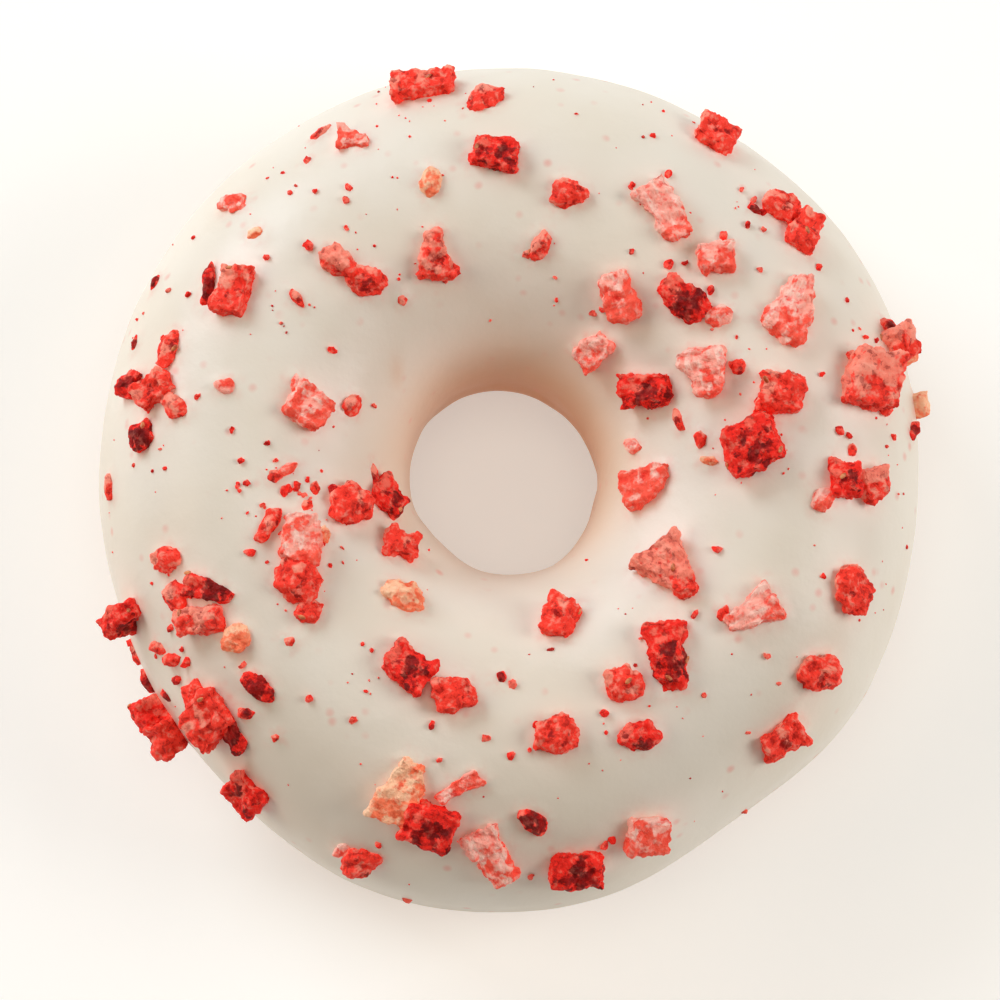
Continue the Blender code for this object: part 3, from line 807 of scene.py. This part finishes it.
def held_in_icing(point):
    """Move a sunken corner out until it keeps clear of the dough."""
    x = point.x - MIDDLE_X
    y = point.y - MIDDLE_Y
    bearing = math.atan2(y, x)
    middle, half, over, under = tube_section(bearing, DEEPEST)
    across = (math.hypot(x, y) - middle) / half
    rise = point.z - WAIST_HEIGHT
    up = rise / (over if rise > 0.0 else under)
    if math.hypot(across, up) >= 1.0:
        return point
    return Vector(tube_point(bearing, math.atan2(up, across), DEEPEST))


print("a spot 30 mm to the right lies", round(under_the_eye(30.0, 0.0, 0.0)[1], 2), "radians over the rim")

# %% [markdown]
# ## Fine meshes for the pieces
#
# Only the corners follow the measured model. For the crumbled face each piece is cut
# into triangles a third of a millimetre long, about three pixels of the photograph.
# Some facts are kept on every point for the finishes: the piece's own luck, how coarse
# it is, how far the point lies from the piece's middle, and its place in the piece
# along the way it broke, which is where the fibres run.

# %% Cutting the pieces fine
CUTS_TO_A_MM = 3.2
COARSE_WIDTH = 3.4
LUCKY_SHIFT = 40.0
# Pieces that show more flesh, or more skin, than the rest of their tone
PINKER = ((36.3, 10.4), (36.4, 0.0), (39.1, 13.9), (15.8, -9.1), (-17.3, 22.0), (15.3, 27.0))
REDDER = ((5.0, -13.3), (-15.1, -38.2), (13.4, 0.2), (10.9, 18.6), (-31.8, -21.4), (-35.1, -26.0))
PINKEST_LUCK = 1.1
REDDEST_LUCK = -0.3
LUCK_LEFT = 0.2


def own_luck(row, luck):
    """A piece's luck from 0 to 1, or past 1 for the pinkest and below 0 for the reddest."""
    if row[:2] in PINKER:
        return PINKEST_LUCK + luck * LUCK_LEFT
    if row[:2] in REDDER:
        return REDDEST_LUCK + luck * LUCK_LEFT
    return luck


def kept(mesh, name, kind, values):
    """Keep a value of each point on the mesh, under a name."""
    field = {"FLOAT": "value", "FLOAT_VECTOR": "vector"}[kind]
    mesh.attributes.new(name, kind, "POINT").data.foreach_set(field, values)


def fine_piece(row, draw, luck):
    """A row's piece, cut fine: its points, faces, and what is kept on each point."""
    x, y, length, width, turn_degrees, kind = row
    shape = strawberry_piece(length, width, kind, draw)
    lift = max(vertex.co.z for vertex in shape.verts) / 2.0
    place = seat(x, y, lift, turn_degrees)
    for vertex in shape.verts:
        vertex.co = held_in_icing(place @ vertex.co)
    cuts = max(2, round(length * CUTS_TO_A_MM) - 1)
    bmesh.ops.subdivide_edges(shape, edges=shape.edges[:], cuts=cuts, use_grid_fill=True)
    shape.verts.index_update()
    points = [vertex.co * MM for vertex in shape.verts]
    faces = [[vertex.index for vertex in face.verts] for face in shape.faces]
    shape.free()
    middle = place @ Vector((0.0, 0.0, lift))
    back = place.to_3x3().inverted()
    shift = Vector((luck * LUCKY_SHIFT, 0.0, 0.0))
    own = [(point / MM - middle) / (length / 2.0) for point in points]
    grain = [(back @ (point / MM - middle) + shift) * MM for point in points]
    return points, faces, own, grain


def fine_mesh(name, rows, draw, luck_draw):
    """One mesh of all the rows' pieces."""
    points, faces, owns, grains, lucks, coarses = [], [], [], [], [], []
    for row in rows:
        luck = own_luck(row, luck_draw.random())
        piece_points, piece_faces, own, grain = fine_piece(row, draw, luck)
        faces += [[len(points) + number for number in face] for face in piece_faces]
        points += piece_points
        owns += own
        grains += grain
        lucks += [luck] * len(piece_points)
        coarses += [min(1.0, row[3] / COARSE_WIDTH)] * len(piece_points)
    mesh = bpy.data.meshes.new(name)
    mesh.from_pydata(points, [], faces)
    kept(mesh, "own", "FLOAT_VECTOR", [part for vector in owns for part in vector])
    kept(mesh, "grain", "FLOAT_VECTOR", [part for vector in grains for part in vector])
    kept(mesh, "luck", "FLOAT", lucks)
    kept(mesh, "coarse", "FLOAT", coarses)
    return mesh


piece_draw = random.Random(SEED)
luck_draw = random.Random(SEED + 2)
fruit_meshes = {
    tone: fine_mesh(f"{tone}_strawberry", rows, piece_draw, luck_draw) for tone, rows in PIECES.items()
}
print("fine points:", {tone: len(mesh.vertices) for tone, mesh in fruit_meshes.items()})

# %% [markdown]
# ## The strawberry's finishes
#
# Freeze-dried strawberry is a dry sponge. Its skin side is a strong red, its flesh is
# pink with pale fibres, and where juice gathered it dried nearly black. The four tones
# and the crumbs share one recipe. They differ in their colours and in how much flesh,
# fibre and dark they show. Grains under a millimetre wide get painted shade in their
# creases and a painted highlight on their tops, which is most of what makes the surface
# look crumbled. Each piece is also painted darker on its near and right side, away from
# the main light. Light also passes through the thin walls of the sponge. Following it
# would take a long render, so the fruit glows very weakly in its own colour instead.


# %% Four tones of strawberry
NEARLY_BLACK = paint(84, 5, 4)
FRUIT_GLOW = 0.12
FLESH_GRAIN = 1.5
FIBRE_GRAIN = 0.8
DRIED_GRAIN = 1.2
CLOT_GRAIN = 0.9
CRUMB_GRAIN = 0.8
# Where fibres and dried juice look up their noise, so that they don't follow the flesh
FIBRE_SHIFT = (0.007, 0.003, 0.001)
DRIED_SHIFT = (0.019, 0.011, 0.005)


def fruit_finish(name, skin, flesh, pale, deep, flesh_share, fibre_share, dark_share, in_pieces=True):
    """A crumbly fruit finish, from its four colours and the share of each."""
    material, shader, place = new_finish(name, 0.6, shine=0.25)
    shader.inputs["Emission Strength"].default_value = FRUIT_GLOW
    luck = attribute(place, "luck")
    if in_pieces:
        place = attribute(place, "grain", output="Vector")
    own = attribute(place, "own", output="Vector")
    parts = part_of(own, "X")
    low = parts.also("Y") * -1.0
    rim = own.node("ShaderNodeVectorMath", {0: own}, output="Value", operation="LENGTH")
    # Painted shade: the near and right side of each piece, away from the main light, shows less flesh and
    # more dark
    painted_side_shade = low * 0.14 + parts * 0.08
    lot = (luck - 0.5) * 0.16

    bar = 0.66 - flesh_share * 0.34
    fleshy = ease(noise(place, FLESH_GRAIN, 3.0) + lot - rim * 0.10 - painted_side_shade, bar, bar + 0.10)
    colour = blend(fleshy, skin, flesh)
    drawn_out = {"Vector": place, "Scale": (0.25, 1.0, 1.0), "Location": FIBRE_SHIFT}
    fibres = noise(place.node("ShaderNodeMapping", drawn_out), FIBRE_GRAIN, 3.0)
    colour = blend(ease(fibres, 0.46, 0.62) * fleshy * fibre_share, colour, pale)
    shifted = place.node("ShaderNodeMapping", {"Vector": place, "Location": DRIED_SHIFT})
    middle = (0.6 - rim) * 0.32 + painted_side_shade * 0.6 - lot * 0.5
    bar = 0.74 - dark_share * 0.36
    dried = ease(noise(shifted, DRIED_GRAIN, 4.0, 0.6) + middle, bar, bar + 0.13)
    colour = blend(dried * 0.85, colour, deep)
    clotted = ease(noise(place, CLOT_GRAIN, 3.0), 0.40, 0.58)
    colour = blend(ease(dried, 0.5, 1.0) * clotted * dark_share, colour, NEARLY_BLACK)

    crumb = noise(place, CRUMB_GRAIN, 3.0, 0.6)
    # Painted shade: the creases between grains and the deep places darken towards the deep colour
    painted_crease_shade = 1.0 - ease(crumb, 0.34, 0.48)
    # Painted highlight: the tops of the grains lighten towards the pale colour
    painted_top_highlight = ease(crumb, 0.50, 0.70)
    colour = blend(least(0.75, painted_crease_shade * 0.55 + attribute(place, "deepness") * 0.35), colour, deep)
    colour = blend(painted_top_highlight * (0.62 - dried * 0.44) * (1.0 - fibre_share * 0.4), colour, pale)
    coat(
        shader,
        Base_Color=colour,
        Emission_Color=colour,
        Roughness=0.5 + noise(place, 0.3, 2.0) * 0.3,
        Normal=relief(crumb + noise(place, 0.2, 2.0) * 0.4, 0.24),
    )
    return material


# For each tone: its skin, flesh, pale fibres (also the painted highlights) and dried juice
# (also the painted crease shade), then the share of flesh, fibre and dark
FRUIT_COLOURS = {
    "red": ((255, 62, 46), (255, 134, 112), (255, 168, 146), (150, 8, 5), 0.58, 0.45, 0.32),
    "dark": ((250, 44, 32), (252, 98, 80), (254, 140, 118), (140, 5, 5), 0.40, 0.25, 0.76),
    "coral": ((255, 92, 72), (255, 164, 146), (255, 206, 190), (240, 50, 38), 0.78, 0.90, 0.20),
    "peach": ((255, 126, 88), (255, 188, 148), (255, 214, 178), (230, 80, 50), 0.90, 0.50, 0.16),
    "crumb": ((255, 50, 38), (255, 104, 86), (255, 140, 120), (170, 10, 8), 0.50, 0.35, 0.10),
}


def fruit_tone(tone):
    """The finish of one tone, from its row of colours and shares."""
    *colours, flesh_share, fibre_share, dark_share = FRUIT_COLOURS[tone]
    colours = [paint(*colour) for colour in colours]
    return fruit_finish(f"{tone}_strawberry", *colours, flesh_share, fibre_share, dark_share, tone != "crumb")


FRUIT_FINISHES = {tone: fruit_tone(tone) for tone in FRUIT_COLOURS}
print("strawberry finishes:", list(FRUIT_FINISHES))

# %% [markdown]
# ## Crumbling the pieces
#
# One tree crumbles every piece. First its corners are worn: each point moves towards
# the average of its neighbours, which Blur Attribute works out. Then cells about a
# millimetre wide swell in their middles and sink at their edges, like the lumps of a
# dry sponge, and noise shifts the outline. The push is mostly inwards, so a piece
# keeps the size that was measured.

# %% Growing the fruit
FRUIT_SIZES = {
    "Worn steps": 7,
    "Lump": 1.3,
    "Lump depth": 0.34,
    "Crumb": 0.95,
    "Crumb depth": 1.35,
    "Outline": 1.1,
}
WORN_SHARE = 0.85


def crumbled(tone, mesh, finish):
    """A tone's pieces with worn corners and crumbled faces."""
    sizes = {**FRUIT_SIZES, "Finish": finish}
    start, size = plan(f"{tone}_crumbling", sizes)
    place = start.node("GeometryNodeInputPosition")
    coarse = read_field(start, "coarse")
    steps = {"Value": place, "Iterations": size["Worn steps"]}
    blurred = start.node("GeometryNodeBlurAttribute", steps, data_type="FLOAT_VECTOR")
    mixed = {0: coarse * WORN_SHARE, 4: place, 5: blurred}
    worn_place = start.node("ShaderNodeMix", mixed, output=1, data_type="VECTOR")
    worn = start.node("GeometryNodeSetPosition", {"Geometry": start, "Position": worn_place})
    lumps = cells(scaled(place, 1.0 / size["Lump"]), 1.0)
    crumbs = noise(scaled(place, 1.0 / size["Crumb"]), 1.0, 3.0, 0.6)
    # How deep in a crease each point lies, kept for the finish, which paints shade there
    deepness = 1.0 - ease(crumbs - lumps * 0.15, 0.22, 0.42)
    worn, deepness = kept_field(worn, "deepness", deepness)
    worn, lumps = kept_field(worn, "lumps", lumps)
    worn, crumbs = kept_field(worn, "crumbs", crumbs)
    outline = noise(place, 2.1, 2.0) - 0.47
    push = (0.22 - lumps * lumps) * size["Lump depth"] + (crumbs - 0.5) * size["Crumb depth"]
    rough = pushed_out(worn, (push + outline * size["Outline"]) * coarse)
    return grow(new_piece(f"{tone}_fruit", mesh), smoothed(rough), size["Finish"], sizes)


fruit_collection = bpy.data.collections.new("fruit")
bpy.context.scene.collection.children.link(fruit_collection)
fruit = {}
for tone, mesh in fruit_meshes.items():
    fruit[tone] = crumbled(tone, mesh, FRUIT_FINISHES[tone])
    fruit_collection.objects.link(fruit[tone])
    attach(fruit[tone], "root")

# %% [markdown]
# ## The icing's finish
#
# Sugar icing is cream white with a satin face. At its lips it runs thin and the brown
# dough shows through. Down in the hole the brown is partly thin icing and partly painted
# shade with warm bounce light, most on the far wall. Around each strawberry piece the
# icing is pink, partly from juice stain and partly painted red light thrown from the
# fruit: the mesh carries the distance to the nearest fruit, and the pink fades with it.

# %% White icing
icing_finish, icing_shader, icing_place = new_finish("white_icing", 0.36)
CREAM = paint(240, 231, 216)
CREAM_WARM = paint(234, 222, 203)
# The brown of dough seen through thin icing, also used as painted warm shade in the hole
DOUGH_THROUGH_AND_SHADE = paint(222, 142, 68)
BLUSH = paint(238, 146, 130)
STAIN_AND_BOUNCE_REACH = 0.8
cloud = ease(noise(icing_place, 16.0, 3.0), 0.35, 0.65)
icing_colour = blend(cloud * 0.7, CREAM, CREAM_WARM)
# Brown where the icing is thin, and painted shade with warm bounce light down in the hole
thin = attribute(icing_place, "thin")
icing_colour = blend(thin, icing_colour, DOUGH_THROUGH_AND_SHADE)
fruit_gap = attribute(icing_place, "fruit_gap")
# Pink near the fruit: partly juice stain, partly painted red light thrown from the fruit
stain_and_red_bounce = hump(fruit_gap / STAIN_AND_BOUNCE_REACH) * ease(noise(icing_place, 1.1), 0.35, 0.75) * 0.30
spots = (1.0 - ease(cells(icing_place, 2.8), 0.03, 0.23)) * ease(noise(icing_place, 6.0), 0.40, 0.60) * 0.50
icing_colour = blend(stain_and_red_bounce + spots, icing_colour, BLUSH)
coat(
    icing_shader,
    Base_Color=icing_colour,
    Roughness=0.34 + noise(icing_place, 2.5, 3.0) * 0.12,
    Normal=relief(noise(icing_place, 1.6, 3.0, 0.55), 0.05),
)
print("icing's stain fades out over", STAIN_AND_BOUNCE_REACH, "mm from the fruit")

# %% [markdown]
# ## The icing's shell
#
# The icing is two sheets by the ring's rule: its face, and its back against the dough.
# They share their edges, so merging those closes the shell. Near each lip the face
# swells into a bead, where wet icing gathered before it set, and then curves in to meet
# the back. The lips themselves wander up and down in slow waves. Where fruit touches
# it, the icing climbs a little: Geometry Proximity measures how near the fruit is.

# %% The icing's rows and lips
OUTER_LIP_DEGREES = -19.0
INNER_LIP_DEGREES = 197.0
# Waves of the lips: how many round the ring, height and start in degrees
LIP_WAVES = ((3, 3.4, 40.0), (5, 2.8, 110.0), (8, 2.0, 15.0), (13, 0.9, 70.0))
LIP_ROUNDING = 1.3
BEAD_FROM_LIP = 2.3
BEAD_SPREAD = 1.6
# Where the hole's brown is strongest: thin icing and painted shade on the far wall
THIN_AND_SHADED_BEARING = math.radians(60.0)
# A smear left of the hole where the icing was wiped thin
SMEAR_MIDDLE = (-11.2, 9.3, 0.0)
SMEAR_WIDTH = 0.8
SMEAR_LENGTH = 1.6
SMEAR_SHARE = 0.22


def lip_turn(bearing, degrees, away):
    """The turn at which the icing ends; away is -1 at the rim and 1 in the hole."""
    wave = 0.0
    for count, height, start_degrees in LIP_WAVES:
        wave = sine(bearing * (count * away) + math.radians(start_degrees)) * height + wave
    return (wave * away + degrees) * math.radians(1.0)


def icing_turn(bearing, across):
    """Rows from the outer lip to the inner one, closer together at both."""
    outer = lip_turn(bearing, OUTER_LIP_DEGREES, -1.0)
    inner = lip_turn(bearing, INNER_LIP_DEGREES, 1.0)
    closer = (1.0 - cosine(across * math.pi)) * 0.5
    return outer + (across * 0.4 + closer * 0.6) * (inner - outer)


def from_lip(bearing, turn):
    """How far a row of the icing lies from the nearer lip, in mm."""
    half = tube_section(bearing, 0.0)[1]
    outer = (turn - lip_turn(bearing, OUTER_LIP_DEGREES, -1.0)) * half
    inner = (lip_turn(bearing, INNER_LIP_DEGREES, 1.0) - turn) * half
    return least(outer, inner)


print("outer lip at bearing 0:", round(math.degrees(lip_turn(0.0, OUTER_LIP_DEGREES, -1.0)), 1), "degrees")

# %% Growing the icing
ICING_SIZES = {
    "Steps round": 460,
    "Steps across": 150,
    "Steps across the back": 10,
    "Thickness": ICING_THICKNESS,
    "Bead": 0.34,
    "Wave depth": 0.5,
    "Climb": 0.13,
    "Fruit": fruit_collection,
    "Icing": icing_finish,
}
start, size = plan("icing_by_rule", ICING_SIZES)


def face_inset(bearing, turn):
    """The icing's face: a bead near the lip, and then a round edge down to the back."""
    away = from_lip(bearing, turn)
    edge = least(1.0, most(0.0, 1.0 - away / LIP_ROUNDING))
    rounded = 1.0 - edge.maths("SQRT", 1.0 - edge * edge)
    bead = hump((away - BEAD_FROM_LIP) / BEAD_SPREAD) * size["Bead"]
    return rounded * size["Thickness"] - bead * (1.0 - edge)


face, face_bearing, face_turn = ring_sheet(
    start, size["Steps round"], size["Steps across"], icing_turn, face_inset
)
fruit_mesh = start.node("GeometryNodeCollectionInfo", {"Collection": size["Fruit"]})
fruit_mesh = start.node("GeometryNodeRealizeInstances", {"Geometry": fruit_mesh})
near = {"Geometry": fruit_mesh}
gap = start.node("GeometryNodeProximity", near, output="Distance", target_element="FACES") / MM
here = start.node("GeometryNodeInputPosition")
lip_gap = from_lip(face_bearing, face_turn)
# Brown down in the hole: partly thin icing, partly painted shade and bounce light, most on the far wall
hole_thin_and_shade = ease(face_turn, 2.35, 3.25) * (cosine(face_bearing - THIN_AND_SHADED_BEARING) * 0.30 + 0.56)
ends = {0: scaled(here, 1.0 / MM), 1: SMEAR_MIDDLE}
smear_across = part_of(here.node("ShaderNodeVectorMath", ends, operation="SUBTRACT"), "X")
smear = hump(smear_across / SMEAR_WIDTH) * hump(smear_across.also("Y") / SMEAR_LENGTH)
thin_and_shade_mask = most(most(hole_thin_and_shade, smear * SMEAR_SHARE), hump(lip_gap / 1.1) * 0.3)
face, kept_gap = kept_field(face, "fruit_gap", gap)
face, _ = kept_field(face, "thin", thin_and_shade_mask)
waves = (noise(here, 15.0, 2.0) - 0.5) * size["Wave depth"] + (noise(here, 4.5, 2.0) - 0.5) * 0.12
climb = hump(kept_gap / 0.55) * size["Climb"]
face = pushed_out(face, (waves + climb) * ease(lip_gap, 0.2, 2.5))
back, _, _ = ring_sheet(
    start,
    size["Steps round"],
    size["Steps across the back"],
    icing_turn,
    lambda bearing, turn: size["Thickness"] + 0.0,
)
back = back.node("GeometryNodeFlipFaces", {"Mesh": back})
both = start.tree.nodes.new("GeometryNodeJoinGeometry")
start.tree.links.new(face.socket, both.inputs[0])
start.tree.links.new(back.socket, both.inputs[0])
shell = smoothed(sewn(Wire(start.tree, both.outputs[0])))
icing = grow(new_piece("icing_shell"), shell, size["Icing"], ICING_SIZES)
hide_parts("icing")
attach(icing, "root")

# %% [markdown]
# ## Crumbs
#
# Small crumbs broke off the pieces and lie in drifts near them, with a few strays.
# Their places are worked out in Python, since each has to sit on the icing. The drifts
# repeat the measured model's. The strays come from the photograph, and most of them lie
# within 0.2 mm of the same list of red spots. A Geometry Nodes tree then puts a small
# broken grain on every place, each turned and stretched its own way.

# %% Where the crumbs lie
CRUMB_DRIFTS = (
    (-22.5, -1.0, 5.5, 16),
    (-33.0, -17.0, 6.5, 11),
    (-25.0, 28.0, 9.0, 6),
    (20.0, 22.0, 10.0, 12),
    (34.0, 5.0, 8.0, 6),
    (18.0, -30.0, 12.0, 4),
    (-5.0, -30.0, 14.0, 8),
)
CRUMB_SMALLEST = 0.7
CRUMB_LARGEST = 1.3
# How high over the icing a crumb is aimed at and set, as shares of its size
CRUMB_AIM = 0.2
CRUMB_LIFT = 0.06
# Each stray: where the eye sees it, and its size
STRAYS = (
    (-20.4, 32.2, 1.1), (-19.6, 29.1, 0.9), (-16.3, 29.5, 0.9), (-17.9, 13.2, 1.0),
    (-34.3, 19.2, 0.8), (-32.4, 18.8, 1.0), (-31.4, 8.6, 0.8), (-27.9, 5.3, 0.8),
    (-13.7, 7.7, 0.9), (6.5, 36.9, 0.7), (14.2, 34.7, 0.8), (12.1, 29.6, 0.8),
    (9.1, 17.2, 1.0), (8.2, 16.9, 0.8), (33.7, 18.3, 0.8), (30.8, 21.6, 1.0),
    (12.1, 23.1, 0.8), (35.4, 14.5, 0.7), (36.6, 14.2, 0.9), (31.1, 10.8, 0.8),
    (23.1, 29.3, 0.7), (4.5, 18.2, 0.7), (-22.2, -0.6, 1.0), (-26.4, 0.0, 1.0),
    (-26.2, -7.0, 1.2), (-20.2, -21.7, 1.0), (-15.8, -23.8, 1.0), (-7.9, -24.3, 1.0),
    (-7.1, -27.8, 1.0), (-13.3, -36.4, 1.2), (-39.3, -17.3, 1.2), (20.6, -6.7, 0.9),
    (31.2, -9.4, 0.9), (18.4, -13.3, 1.1), (25.6, -17.4, 1.0), (2.5, -24.3, 1.0),
    (13.0, -15.6, 0.8), (4.0, -16.7, 0.8), (23.7, -25.1, 0.7),
)


def crumb_places():
    """Where the eye sees each crumb, and its size, drifts first."""
    draw = random.Random(SEED + 1)
    for x, y, reach, count in CRUMB_DRIFTS:
        for _ in range(count):
            bearing = draw.uniform(0.0, 2.0 * math.pi)
            away = reach * math.sqrt(draw.random())
            size = draw.uniform(CRUMB_SMALLEST, CRUMB_LARGEST)
            yield x + away * math.cos(bearing), y + away * math.sin(bearing), size
            # The measured model draws a turn here, so one is drawn to stay in step
            draw.uniform(0.0, 90.0)
    yield from STRAYS


def scatter_mesh(name, places):
    """A mesh of bare points on the icing, with the size of what lies on each."""
    points, sizes = [], []
    for x, y, size in places:
        place = seat(x, y, size * CRUMB_AIM, 0.0)
        points.append((place @ Vector((0.0, 0.0, size * CRUMB_LIFT))) * MM)
        sizes.append(size)
    mesh = bpy.data.meshes.new(name)
    mesh.from_pydata(points, [], [])
    mesh.attributes.new("size", "FLOAT", "POINT").data.foreach_set("value", sizes)
    return mesh


crumb_mesh = scatter_mesh("crumb_places", crumb_places())
print("crumbs:", len(crumb_mesh.vertices))

# %% Growing the crumbs
crumb_finish = FRUIT_FINISHES["crumb"]
CRUMB_SIZES = {"Grain radius": 0.5, "Ragged depth": 0.95, "Seed": SEED, "Finish": crumb_finish}
start, size = plan("crumbs_on_places", CRUMB_SIZES)


def random_vector(start, low, high, seed):
    """A vector of its own for each instance."""
    sockets = {0: low, 1: high, "Seed": seed}
    return start.node("FunctionNodeRandomValue", sockets, data_type="FLOAT_VECTOR")


def random_number(start, low, high, seed):
    """A number of its own for each instance or point."""
    sockets = {2: low, 3: high, "Seed": seed}
    return start.node("FunctionNodeRandomValue", sockets, output=1, data_type="FLOAT")


def strewn(points, thing, shape, turn_seed, luck_seed):
    """A thing on every point, each of its own shape, turned and with luck of its own."""
    sockets = {"Points": points, "Instance": thing, "Scale": shape}
    sockets["Rotation"] = random_vector(points, (0.0, 0.0, 0.0), (TURN, TURN, TURN), turn_seed)
    placed = points.node("GeometryNodeInstanceOnPoints", sockets)
    return kept_field(placed, "luck", random_number(points, 0.0, 1.0, luck_seed), "INSTANCE")[0]


TURN = 2.0 * math.pi
grain = start.node("GeometryNodeMeshIcoSphere", {"Radius": size["Grain radius"] * MM, "Subdivisions": 2})
stretch = random_vector(start, (0.7, 0.7, 0.6), (1.15, 1.15, 0.95), size["Seed"])
shape = scaled(stretch, read_field(start, "size"))
points = start.node("GeometryNodeMeshToPoints", {"Mesh": start})
crumbs = strewn(points, grain, shape, size["Seed"] + 1.0, size["Seed"] + 2.0)
crumbs = crumbs.node("GeometryNodeRealizeInstances", {"Geometry": crumbs})
here = start.node("GeometryNodeInputPosition")
crumbs = pushed_out(crumbs, (noise(here, 0.5, 2.0) - 0.58) * size["Ragged depth"])
crumbs = grow(new_piece("strawberry_crumbs", crumb_mesh), crumbs, size["Finish"], CRUMB_SIZES)
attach(crumbs, "root")

# %% [markdown]
# ## Dust
#
# The finest specks are only a few tenths of a millimetre, and there are hundreds, so
# nobody places them by hand. A tree scatters points over the icing's own faces, thick
# near the fruit and thin elsewhere, and puts a speck of twenty faces on each.

# %% Growing the dust
DUST_SIZES = {
    "Per square cm": 26.0,
    "Speck radius": 0.5,
    "Near fruit": 3.2,
    "Seed": SEED,
    "Finish": crumb_finish,
}
SQUARE_CM_TO_A_SQUARE_METRE = 10000.0
start, size = plan("dust_on_icing", DUST_SIZES)
gap = read_field(start, "fruit_gap")
turn = read_field(start, "turn")
inset = read_field(start, "inset")
here = start.node("GeometryNodeInputPosition")
drift = ease(noise(here, 11.0, 2.0), 0.50, 0.64)
on_top = ease(turn, 0.05, 0.5) * (1.0 - ease(turn, 2.2, 2.7)) * (1.0 - ease(inset, 0.1, 0.2))
density = on_top * (hump(gap / size["Near fruit"]) * 0.75 * drift + drift * 0.12 + 0.03)
thick = density * size["Per square cm"] * SQUARE_CM_TO_A_SQUARE_METRE
sockets = {"Mesh": start, "Density": thick, "Seed": size["Seed"]}
points = start.node("GeometryNodeDistributePointsOnFaces", sockets, distribute_method="RANDOM")
speck = start.node("GeometryNodeMeshIcoSphere", {"Radius": size["Speck radius"] * MM, "Subdivisions": 1})
speck_size = random_number(start, 0.0, 1.0, size["Seed"] + 1.0)
speck_size = speck_size * speck_size * speck_size * 0.55 + 0.22
stretch = random_vector(start, (0.6, 0.6, 0.4), (1.2, 1.2, 0.9), size["Seed"] + 3.0)
specks = strewn(points, speck, scaled(stretch, speck_size), size["Seed"] + 2.0, size["Seed"] + 4.0)
dust = grow(new_piece("strawberry_dust", icing.data.copy()), specks, size["Finish"], DUST_SIZES)
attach(dust, "root")

# %% [markdown]
# ## Seeds
#
# A strawberry's seeds sit in its skin, so the redder pieces carry a few: golden grains
# under a millimetre long, lying flat in the face. They are scattered over the fruit's
# own faces, far enough apart that no two touch, and turned to the face they lie in.

# %% Growing the seeds
seed_finish, seed_shader, seed_place = new_finish("strawberry_seed", 0.4)
seed_tint = ease(noise(seed_place, 0.5, 3.0), 0.3, 0.7)
coat(
    seed_shader,
    Base_Color=blend(seed_tint, paint(180, 74, 38), paint(238, 152, 98)),
    Roughness=0.32 + seed_tint * 0.2,
    Normal=relief(noise(seed_place, 0.2, 2.0), 0.04),
)
SEED_SIZES = {
    "Apart": 2.2,
    "Per square cm": 3.0,
    "Length": 0.85,
    "Width": 0.46,
    "Seed": SEED + 7,
    "Finish": seed_finish,
}


def seeded(tone):
    """The seeds in one tone's skin."""
    start, size = plan(f"{tone}_seeds", SEED_SIZES)
    coarse = read_field(start, "coarse")
    upward = part_of(start.node("GeometryNodeInputNormal"), "Z")
    spots = start.node(
        "GeometryNodeDistributePointsOnFaces",
        {
            "Mesh": start,
            "Distance Min": size["Apart"] * MM,
            "Density Max": size["Per square cm"] * SQUARE_CM_TO_A_SQUARE_METRE,
            "Density Factor": (coarse > 0.6) * ease(upward, -0.1, 0.5),
            "Seed": size["Seed"],
        },
        distribute_method="POISSON",
    )
    ball = start.node("GeometryNodeMeshIcoSphere", {"Radius": 0.5 * MM, "Subdivisions": 2})
    spin = random_number(start, 0.0, TURN, size["Seed"] + 1.0)
    spun = spin.node("ShaderNodeCombineXYZ", {"Z": spin})
    lying = start.node(
        "FunctionNodeRotateRotation",
        {"Rotation": spots.also("Rotation"), "Rotate By": spun},
        rotation_space="LOCAL",
    )
    thickness = size["Width"] * 0.7
    scale = spin.node("ShaderNodeCombineXYZ", {"X": size["Length"], "Y": size["Width"], "Z": thickness})
    seeds = start.node(
        "GeometryNodeInstanceOnPoints",
        {"Points": spots, "Instance": ball, "Rotation": lying, "Scale": scale},
    )
    return grow(new_piece(f"{tone}_seeds", fruit[tone].data.copy()), seeds, size["Finish"], SEED_SIZES)


for tone in ("red", "dark"):
    seeds = seeded(tone)
    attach(seeds, "root")
